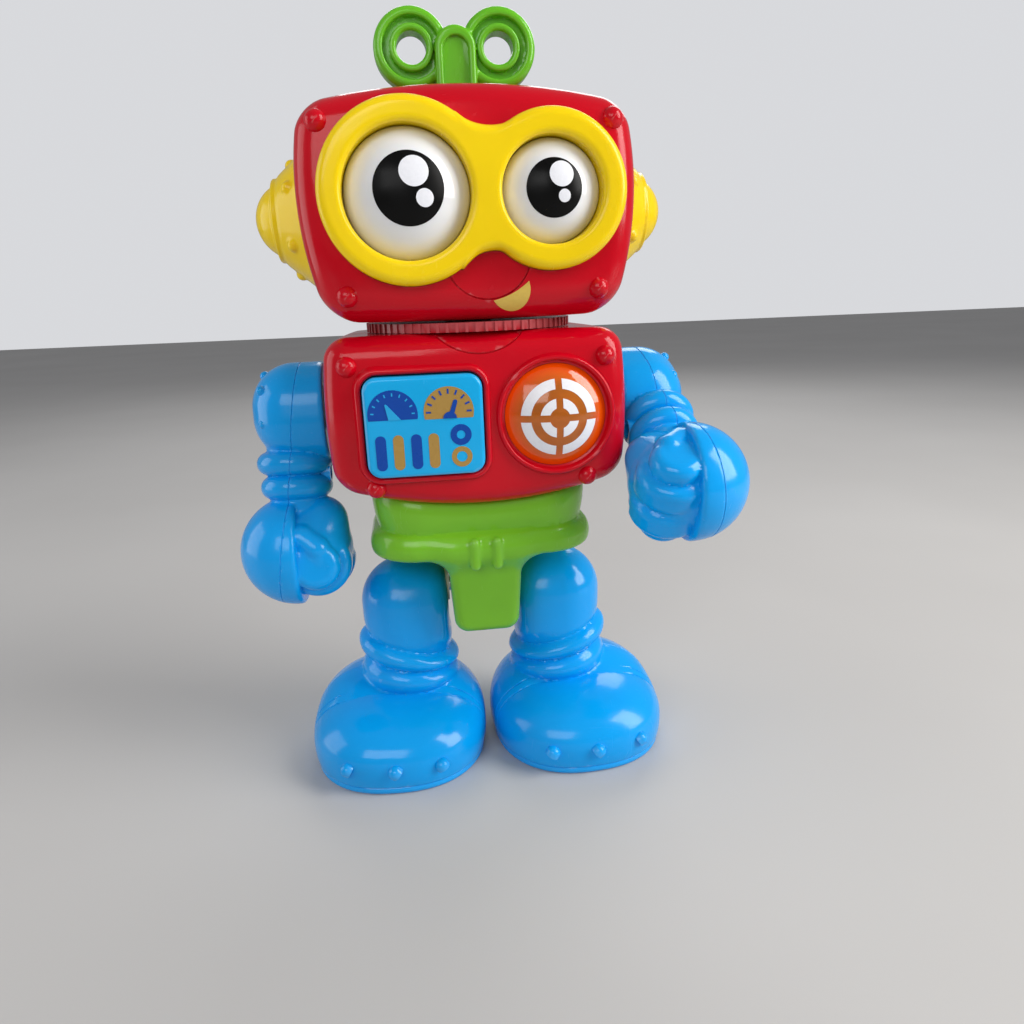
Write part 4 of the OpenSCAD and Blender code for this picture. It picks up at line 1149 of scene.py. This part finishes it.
def upright(x, rows, columns=5):
    """Grid of a shape that is even about the line x, from its half width at each height."""
    share = np.linspace(-1, 1, columns)
    return np.array([[[x + max(half_w, 0.02) * s, z] for s in share] for half_w, z in rows])


def bar_grid(x, low, high, half_w):
    """Upright bar with round ends."""
    rows = arc(0, low + half_w, half_w, -90, 0, 9) + arc(0, high - half_w, half_w, 0, 90, 9)
    return upright(x, rows)


def dial_grid(x, z, r, floor):
    """The part of a disc above the line z = floor."""
    return upright(x, arc(0, z, r, degrees(asin((floor - z) / r)), 90, 33), 9)


def needle_grid(left, right, tip, tip_r, steps=9):
    """Needle that tapers from two base points to a rounded tip."""
    middle = (np.array(left) + np.array(right)) / 2
    along = (np.array(tip) - middle) / np.linalg.norm(np.array(tip) - middle)
    across = np.array([along[1], -along[0]])
    end = np.array(tip) - along * tip_r
    rows = []
    for share in np.linspace(0, 1, steps):
        a = np.array(left) * (1 - share) + (end - across * tip_r) * share
        b = np.array(right) * (1 - share) + (end + across * tip_r) * share
        rows.append([a, (a + b) / 2, b])
    for a in (25, 50, 70, 85):
        middle, half = end + along * tip_r * sin(radians(a)), across * tip_r * cos(radians(a))
        rows.append([middle - half, middle, middle + half])
    return np.array(rows)


def tick_grid(x, z, inner, outer, angle, half_w):
    """Short bar on a dial, pointing away from its centre."""
    along = np.array([cos(radians(angle)), sin(radians(angle))])
    half = np.array([-along[1], along[0]]) * half_w
    rows = [np.array([x, z]) + along * r for r in (inner, outer)]
    return np.array([[p - half, p, p + half] for p in rows])


DIALS = (
    ("dial_navy", (-10.75, 4.65, 8.6, 2.95), "navy", "sky", (6.5, 7.6, 0.24), (174, 3)),
    ("dial_gold", (8.6, 4.95, 8.7, 2.6), "gold", "navy", (6.2, 7.9, 0.32), (180, 0)),
)


def build_button_prints():
    for name, (x, z, r, floor), ink, mark, (inner, outer, half_w), sweep in DIALS:
        button_print(name, dial_grid(x, z, r, floor), ink)
        for i, angle in enumerate(np.linspace(*sweep, 9)):
            tick = tick_grid(x, z, inner, outer, angle, half_w)
            button_print(f"{name}_tick_{i}", tick, mark, 1)
    for ink, needle in (("sky", ((-12.3, 2.95), (-8.0, 2.95), (-13.1, 8.45), 0.4)),
                        ("navy", ((8.1, 2.6), (9.9, 2.6), (11.2, 9.05), 0.75))):
        button_print("needle_" + ink, needle_grid(*needle), ink, 2)
    button_print("needle_hub", dial_grid(8.9, 2.55, 2.4, 2.6), "navy", 3)
    for i, x in enumerate((-15.6, -9.5, -3.25, 2.8)):
        bar = bar_grid(x, -14.75, -2.35, 1.85)
        button_print(f"level_bar_{i}", bar, ("navy", "gold")[i % 2])
    for ink, z, r, hole in (("navy", -3.35, 3.7, 1.5), ("gold", -11.15, 3.65, 1.9)):
        ring = disc("ring_" + ink, BUTTON_X + 12.4, BUTTON_Z + z, r, flat_at(BUTTON_FRONT),
                    inner=hole, rows=3)
        finished(ring, "button", ink)


LENS_RISE = 6.6
LENS_WALL = 2.0
LENS_BACK = 35
TARGET_RINGS = ((10.2, 13.7), (3.7, 7.0))
TARGET_GAP = 1.25


def build_lens():
    profile, sphere, middle = domed_cover(LENS_R, LENS_RISE, -LENS_CROWN, LENS_WALL, LENS_BACK,
                                          LENS_FLANGE, 12)

    def depth_at(x, z):
        return -(middle + np.sqrt(sphere ** 2 - (x - LENS_X) ** 2 - (z - LENS_Z) ** 2))

    lens = turned("lens", profile, (LENS_X, 0, LENS_Z), FORWARD, 128)
    finished(lens, "trunk", "amber_lens", "lens_dome")
    target_x, target_z = LENS_X + 0.5, LENS_Z - 0.4
    for ring, (r0, r1) in enumerate(TARGET_RINGS):
        for quarter in range(4):
            rows = []
            for share in np.linspace(0, 1, 5):
                r = r0 + (r1 - r0) * share
                ease = asin(TARGET_GAP / r)
                turns = np.linspace(quarter * pi / 2 + ease, (quarter + 1) * pi / 2 - ease, 17)
                rows.append([(target_x + r * cos(a), target_z + r * sin(a)) for a in turns])
            mark = plated(f"target_{ring}_{quarter}", np.array(rows), depth_at)
            finished(mark, "trunk", "white")


# ---- Arms ---------------------------------------------------------------------------------------

ARM_X = 71.6
ARM_SEAM = 68.3
ARM_SEAM_LEAN = Vector((1, 0, 0.15)).normalized()
ARM_INNER = 57.2
SHOULDER_X = 68.4
SHOULDER_R = 17.4
FIST_MID = (73.6, 0, -56.3)
# Each curled finger: its place across the hand, its half width and the radius of its curl
FINGERS = ((-14.2, 4.6, 9.5), (-5.6, 6.1, 13.2), (6.2, 6.1, 13.6), (14.4, 4.6, 8.8))
CURL = (65.2, -61.2)
FINGER_ROUND = 4


def arm_swing(node):
    """Forward swing at rest, from where the fist's box ends."""
    low = box_mm(node)[0]
    return atan2(-(low.y + FIST_R), SHOULDER_Z - (low.z + FIST_R))


def hand_field(p):
    """Closed left hand: a smooth back, a palm with a heel, four curled fingers and a thumb."""
    x, y, z = p
    back_of_hand = common(ball(p, FIST_MID, FIST_R), 71.4 - x, 1.5)
    hand = joined(ball(p, (70, 0, -56), 18.3), ball(p, (63.0, -2, -45.5), 10.3), 2.5)
    curl = length(x - CURL[0], z - CURL[1])
    for middle, half_w, r in FINGERS:
        beyond = np.maximum(curl - (r - FINGER_ROUND), 0)
        aside = np.maximum(abs(y - middle) - (half_w - FINGER_ROUND), 0)
        hand = joined(hand, length(beyond, aside) - FINGER_ROUND, 0.5)
    thumb = np.minimum(capsule(p, (69.5, -14.0, -50), (64.2, -15.0, -54.5), 5.2),
                       capsule(p, (64.2, -15.0, -54.5), (62.6, -13.6, -60), 4.9))
    hand = joined(hand, thumb, 0.6)
    return joined(hand, back_of_hand, 0.5)


def arm_field(x, y, z):
    """Left arm hanging straight down from a shoulder axle at z = 0."""
    rho = length(y, z - np.clip(z, -4, 0))
    shoulder = length(np.maximum(x - SHOULDER_X, 0), rho) - SHOULDER_R
    shoulder = common(shoulder, ARM_INNER - x, 1.3)
    around = length(x - ARM_X, y)
    form = joined(shoulder, common(around - 10.5, abs(z + 26) - 20, 1), 0.6)
    for r, middle in ((14.5, -21.5), (13.8, -31.0)):
        ring = length(np.maximum(around - (r - 4.6), 0), z - middle) - 4.7
        form = joined(form, ring, 0.5)
    return joined(form, hand_field((x, y, z)), 0.8)


ARM_SCREWS = [(0, -26), (8, -58)]


def build_arms():
    whole = moulded("arm", arm_field, (48, -26, -84), (99, 26, 20), 0.85, 2.0)
    inner, outer = halves(whole, "arm", (ARM_SEAM, 0, 0), ARM_SEAM_LEAN, ("inner", "outer"))
    for i in range(6):
        a = i * pi / 3
        y, z, up = -12.6 * sin(a), 12.6 * cos(a), sqrt(SHOULDER_R ** 2 - 12.6 ** 2)
        aim = Vector((up, y, z)).to_track_quat("Z", "X").to_matrix().to_4x4()
        plus(outer, turned("nub", button_head(2.0, 1.9), (SHOULDER_X + up - 0.2, y, z), aim, 24))
    minus(inner, along_x(AXLE_R + 0.1, 50, 64, 0, 0, 48))
    for y, z in ARM_SCREWS:
        plus(inner, along_x(SLEEVE_R, 58, ARM_SEAM - SEAM_GAP, y, z))
        minus(inner, along_x(WELL_R, 40, 66.4, y, z))
    for side, mirror in (("left", 1), ("right", -1)):
        swing = arm_swing(side + "_arm_outer_shell")
        where = Matrix.Scale(mirror, 4, (1, 0, 0)) @ Matrix.Translation((0, 0, SHOULDER_Z))
        where = where @ Matrix.Rotation(-swing, 4, "X")
        for half, name in ((outer, "outer"), (inner, "inner")):
            piece = placed(copy_of(half, f"{side}_arm_{name}"), where)
            finished(piece, side + "_arm", "blue_plastic", f"{side}_arm_{name}_shell")
    dropped(outer)
    dropped(inner)


# ---- Pelvis -------------------------------------------------------------------------------------

HIP_MID_Y = -2.75
TAB_BOTTOM = pelvis_low.z
TAB_HALF_W = 12.8
# Half width and half depth of the skirt's two rings, and the height where the lower is widest
UPPER_RING = (42.3, 29.6)
LOWER_RING = (44.3, 31.0)
HIP_RIDGE = 96.0
PELVIS_SCREWS = [(-30, 101), (30, 101), (0, 84)]


def hip_plan(x, y, half_w, half_d, r=20.0):
    """Flat distance to a rounded rectangle, seen from above."""
    dx = abs(x) - (half_w - r)
    dy = abs(y - HIP_MID_Y) - (half_d - r)
    return length(np.maximum(dx, 0), np.maximum(dy, 0)) + np.minimum(np.maximum(dx, dy), 0) - r


def puffed(z, middle, half_h):
    """0 at a ring's mid height, growing to 1 at its top and bottom edges."""
    return ((z - middle) / half_h) ** 2


def pelvis_field(x, y, z):
    up = z - x * x / WAIST_BEND * np.clip((z - 102) / 10, 0, 1)
    upper = hip_plan(x, y, *UPPER_RING) + 1.5 * puffed(up, 108.2, 5.6)
    upper = common(upper, abs(up - 107.4) - 6.6, 1.0)
    lower = hip_plan(x, y, *LOWER_RING) + 2.6 * puffed(z, HIP_RIDGE, 6.4) * (z > HIP_RIDGE)
    lower = lower + 1.2 * puffed(z, HIP_RIDGE, 4.8) * (z <= HIP_RIDGE)
    lower = common(lower, abs(z - 96.9) - 5.7, 2.2)
    skirt = joined(upper, lower, 0.6)
    above = z - TAB_BOTTOM
    tab = common(abs(x) - TAB_HALF_W - above * 0.055, -above, 5.5)
    front, back = -27.6 - above * 0.12, 20 + above * 0.15
    tab = common(tab, np.maximum(front - y, y - back), 3.8)
    tab = common(tab, z - HIP_RIDGE, 1)
    form = joined(skirt, tab, 9.5)
    for bar_x in (-4.25, 4.25):
        bar = capsule((x, y, z), (bar_x, -34.3, 89.4), (bar_x, -35.0, 98.6), 2.0)
        form = joined(form, bar, 0.6)
    return form


def build_pelvis():
    whole = moulded("pelvis", pelvis_field, (-49, -39, 57), (49, 32, 121), 0.95, WALL)
    front, rear = halves(whole, "pelvis")
    for half in (front, rear):
        minus(half, along_x(3.1, -60, 60, 0, hip_z))
    for x, z in PELVIS_SCREWS:
        screw_sleeve(rear, x, z, 22, 14, 40)
    finished(front, "trunk", "apple_green_plastic", "pelvis_front_shell")
    finished(rear, "trunk", "apple_green_plastic", "pelvis_rear_shell")


# ---- Legs ---------------------------------------------------------------------------------------

hip_z = joints["left_hip"]["pos_m"][2] / MM
BOOT = (37.0, 40.0)
BOOT_UP = 26.5
BOOT_DOWN = 24.0
BOOT_WIDEST = 10.0
BOOT_MID = (LEG_X + 5.4, -7.0)
BOOT_POWER = 2.35
TURN_OUT = radians(TOE_OUT)


def boot_place(x, y):
    """Coordinates from the middle of a boot, along and across its turned-out length."""
    c, s = cos(TURN_OUT), sin(TURN_OUT)
    dx, dy = x - LEG_X, y
    return c * dx + s * dy - (BOOT_MID[0] - LEG_X), -s * dx + c * dy - BOOT_MID[1]


def from_boot(u, v):
    """x and y of a point given from the middle of a boot."""
    u, v = u + BOOT_MID[0] - LEG_X, v + BOOT_MID[1]
    c, s = cos(TURN_OUT), sin(TURN_OUT)
    return LEG_X + c * u - s * v, s * u + c * v


def boot_field(x, y, z):
    u, v = boot_place(x, y)
    n = BOOT_POWER
    above = z - BOOT_WIDEST
    instep = BOOT_UP - 7 * np.clip((6 - v) / 16, 0, 1) ** 1.5
    tall = np.where(above > 0, above / instep, above / BOOT_DOWN)
    shape = abs(u / BOOT[0]) ** n + abs(v / BOOT[1]) ** n + abs(tall) ** n
    return (shape ** (1 / n) - 1) * BOOT_UP


CREASE_R = 17.5
RING_SWELL = (3.8, 3.3)


def leg_creases(u):
    """Heights of the three creases round the leg, which slope a little to the outside."""
    return 47.6 + 0.3 * u, 38.6 + 0.16 * u, 28


def leg_radius(u, z):
    """Radius of the leg's column at height z: a dome's foot, then two puffed rings."""
    creases = leg_creases(u)
    upper = LEG_R - (LEG_R - CREASE_R) * np.exp(-np.maximum(z - creases[0], 0) / 2.2)
    radius = np.where(z > creases[0], upper, CREASE_R)
    for high, low, swell in zip(creases, creases[1:], RING_SWELL):
        share = (z - low) / (high - low)
        puff = CREASE_R + swell * (1 - abs(2 * share - 1) ** 2.3)
        radius = np.where((share > 0) & (share <= 1), puff, radius)
    return radius


# Height above which the leg rounds over towards its top
LEG_DOME_Z = 64.8


def squarish(a, b, n=3.2):
    return (abs(a) ** n + abs(b) ** n) ** (1 / n)


def leg_field(x, y, z):
    u = x - LEG_X
    across = length(y, np.maximum(z - LEG_DOME_Z, 0))
    square = np.clip((z - leg_creases(u)[0]) / 7, 0, 1) * (u < 0)
    column = length(u, across)
    column = column + square * (squarish(u, across) - column) - leg_radius(u, z)
    column = common(column, 12 - z, 1)
    flat = HIP_GAP + 0.1 - x - np.maximum(54 - z, 0) * 0.5
    column = common(column, flat, 1.5)
    boot = boot_field(x, y, z)
    return joined(column, boot, 0.9)


def superellipse(half_u, half_v, steps=180):
    """Outline of the boot's plan, in the robot's frame."""
    def eased(value):
        return abs(value) ** (2 / BOOT_POWER) * (1 if value >= 0 else -1)

    turns = [i * tau / steps for i in range(steps)]
    return np.array([from_boot(half_u * eased(cos(a)), half_v * eased(sin(a))) for a in turns])


def boot_side(co):
    """1 on the sides of a boot, 0 over its instep."""
    u, _ = boot_place(co.x, co.y)
    far = min(max((abs(u) - 20) / 5, 0), 1)
    low = min(max((co.z - 4.4) / 1.5, 0), 1)
    return far * low


TOE_RIVETS = (-26, 0.5, 28.5)


def toe_rivet(angle):
    """Domed rivet standing on the boot's toe at an angle from straight ahead."""
    u, v = sin(radians(angle)), -cos(radians(angle))
    n = BOOT_POWER
    reach = (1 / (abs(u / BOOT[0]) ** n + abs(v / BOOT[1]) ** n)) ** (1 / n)
    spot = Vector((*from_boot(u * reach, v * reach), BOOT_WIDEST + 1.5))
    h = 0.05
    slope = [float(boot_field(*(spot + Vector(e) * h))) for e in ((1, 0, 0), (0, 1, 0), (0, 0, 1))]
    aim = Vector(slope).to_track_quat("Z", "X").to_matrix().to_4x4()
    return turned("toe_rivet", button_head(2.9, 2.1), spot, aim, 32)


# The sole's edge: how far it reaches beyond the boot's widest outline, and the height there
SOLE_EDGE = ((-2.2, 0), (-1.6, 0.5), (-1.15, 1.1), (-1.0, 2.0), (-1.2, 2.9), (-1.8, SOLE_T))
SOLE_SCREWS = [(20, -26), (56, -26), (38, 22)]
LEG_SCREW_Z = 48


def build_legs():
    whole = moulded("leg", leg_field, (-3, -50.3, -3), (79, 36, 86), 0.95, WALL)
    body = cut(whole, "leg_body", (0, 0, SOLE_T), (0, 0, -1), edge=0.2)
    dropped(whole)
    front, rear = halves(body, "leg")
    across = (-sin(TURN_OUT), cos(TURN_OUT), 0)
    for at in (-13.5, -16.5):
        spot = (LEG_X - sin(TURN_OUT) * at, cos(TURN_OUT) * at, 0)
        scored(front, spot, across, 0.9, 0.45, boot_side)
    plus(front, *[toe_rivet(a) for a in TOE_RIVETS])
    screw_sleeve(rear, LEG_X, LEG_SCREW_Z, 16, 11, 40)
    for half in (front, rear):
        minus(half, along_x(7.1, HIP_GAP - 3, HIP_GAP + 12, 0, hip_z, 48))
    loops = []
    for grow, h in SOLE_EDGE:
        outline = superellipse(BOOT[0] + grow, BOOT[1] + grow)
        loops.append(np.column_stack([outline, np.full(len(outline), h)]))
    sole = stacked("sole", loops)
    for x, y in SOLE_SCREWS:
        minus(sole, turned("well", [(3.1, -2), (3.1, 1.7)], (x, y, 0), steps=32))
        minus(sole, turned("hole", [(1.5, -2), (1.5, 6)], (x, y, 0), steps=24))
    parts = ((front, "leg_front", "leg_front_shell"), (rear, "leg_rear", "leg_rear_shell"),
             (sole, "boot_sole", "sole"))
    for side, mirror in (("left", 1), ("right", -1)):
        where = Matrix.Scale(mirror, 4, (1, 0, 0))
        for part, name, node in parts:
            piece = placed(copy_of(part, f"{side}_{name}"), where)
            finished(piece, side + "_leg", "blue_plastic", f"{side}_{node}")
    for part in (front, rear, sole):
        dropped(part)


# ---- Screws -------------------------------------------------------------------------------------


def screw_model(shank):
    """Pan-head screw with a cross recess, head upwards with its top at z = 0."""
    r, h = 2.8, 1.9
    dome = [(r * sin(radians(a)), -0.9 + 0.9 * cos(radians(a))) for a in range(0, 91, 15)]
    thread = [(1.25, -h), (1.25, -h - shank + 1), (0.3, -h - shank)]
    screw = turned("screw", dome + [(r, -h)] + thread, steps=40)
    for a in (0, pi / 2):
        loops = []
        for half_l, z in ((1.7, 1), (1.7, -0.4), (1.2, -1.3)):
            loops.append(np.column_stack([rounded_box(half_l, 0.36, 0.2, 4), np.full(16, z)]))
        arm = stacked("slot", loops)
        minus(screw, placed(arm, Matrix.Rotation(a + 0.5, 4, "Z")))
    return screw


def head_top(node):
    """Depth at which the heads of a CAD screw group end."""
    return box_mm(node)[1].y - 0.1


def build_screws():
    """Replaces each CAD screw group that can be seen in a well."""
    groups = {}
    for node, body, spots, shank in (("head_screws", "head", HEAD_SCREWS, 34),
                                     ("torso_screws", "trunk", TORSO_SCREWS, 34),
                                     ("door_screw", "battery_cover", [(DOOR_SCREW_X, DOOR_Z)], 5)):
        groups[node] = (body, [((x, head_top(node), z), shank, BACKWARD) for x, z in spots])
    for side, mirror in (("left", 1), ("right", -1)):
        down = Matrix.Rotation(pi, 4, "X")
        node = side + "_leg_screws"
        spots = [((mirror * LEG_X, head_top(node), LEG_SCREW_Z), 18, BACKWARD)]
        spots += [((mirror * x, y, 0.7), 9, down) for x, y in SOLE_SCREWS]
        groups[node] = (side + "_leg", spots)
    for name, (body, spots) in groups.items():
        parts = []
        for at, shank, turn in spots:
            parts.append(placed(screw_model(shank - 1.9), Matrix.Translation(at) @ turn))
        finished(merged(name.replace("_screw", "_fixing"), parts), body, "steel", name)


# ---- Carried-over CAD nodes ---------------------------------------------------------------------


def finish_cad_nodes():
    """Gives every CAD node its slot's material."""
    slots = {part["node"]: part["material_slot"] for part in frame["record"]["subparts"]}
    for name, node in frame["nodes"].items():
        for place in node.material_slots:
            place.material = finishes[slots[name]]


# ---- Stage --------------------------------------------------------------------------------------


def build_stage():
    reach = 4000
    corners = [(reach * a, reach * b, 0) for a, b in ((-1, -1), (1, -1), (1, 1), (-1, 1))]
    floor = new_object("floor", corners, [(0, 1, 2, 3)])
    tree = Tree("floor_paint")
    cloud = tree.spread(tree.noise(3, 3), 0.3, 0.7, 0, 1)
    paint = tree.mix(cloud, (0.50, 0.49, 0.48, 1), (0.54, 0.53, 0.52, 1))
    tree.set(Base_Color=paint, Roughness=0.6)
    floor.data.materials.append(tree.material)


def soft_light(name, at, aim, size, power, colour=(1, 1, 1)):
    lamp = bpy.data.lights.new(name, "AREA")
    lamp.shape = "RECTANGLE"
    lamp.size, lamp.size_y = size
    lamp.energy = power
    lamp.color = colour
    spot = bpy.data.objects.new(name, lamp)
    spot.location = at
    spot.rotation_euler = (Vector(aim) - Vector(at)).to_track_quat("-Z", "Y").to_euler()
    bpy.context.scene.collection.objects.link(spot)


def build_lights():
    middle = (0, 0, 0.14)
    soft_light("window", (0.85, -0.35, 0.62), middle, (0.5, 0.9), 11, (1.0, 0.98, 0.95))
    soft_light("front", (-0.45, -1.1, 0.75), middle, (0.9, 0.6), 5.5)
    soft_light("left", (-1.0, 0.1, 0.35), middle, (0.6, 0.8), 3)
    soft_light("back", (0.3, 1.1, 0.9), middle, (1.0, 0.5), 5)
    world = bpy.data.worlds.new("studio")
    world.use_nodes = True
    nodes, links = world.node_tree.nodes, world.node_tree.links
    nodes["Background"].inputs["Color"].default_value = (0.86, 0.87, 0.9, 1)
    seen = nodes.new("ShaderNodeLightPath").outputs["Is Camera Ray"]
    strength = nodes.new("ShaderNodeMapRange")
    strength.inputs["To Min"].default_value = 0.32
    strength.inputs["To Max"].default_value = 0.8
    links.new(seen, strength.inputs["Value"])
    links.new(strength.outputs[0], nodes["Background"].inputs["Strength"])
    bpy.context.scene.world = world
    bpy.context.scene.view_settings.view_transform = "Standard"


def build_camera():
    """Camera at the height and angle of a person looking slightly down at the robot."""
    lens = bpy.data.cameras.new("camera")
    lens.sensor_width = 36
    lens.lens = 26.62
    lens.clip_start = 0.01
    camera = bpy.data.objects.new("camera", lens)
    forward = Vector((0.1176, 0.9535, -0.2775)).normalized()
    up = Vector((0.0704, 0.2708, 0.9601))
    right = forward.cross(up).normalized()
    up = right.cross(forward)
    turn = Matrix((right, up, -forward)).transposed().to_4x4()
    camera.matrix_world = Matrix.Translation(Vector((-0.0232, -0.3070, 0.1892)) + NECK_AXIS) @ turn
    bpy.context.scene.collection.objects.link(camera)
    bpy.context.scene.camera = camera


finish_cad_nodes()
build_head()
build_face()
build_smile()
build_ears()
build_key()
build_torso()
build_door()
build_button()
build_button_prints()
build_lens()
build_arms()
build_pelvis()
build_legs()
build_screws()
build_stage()
build_lights()
build_camera()
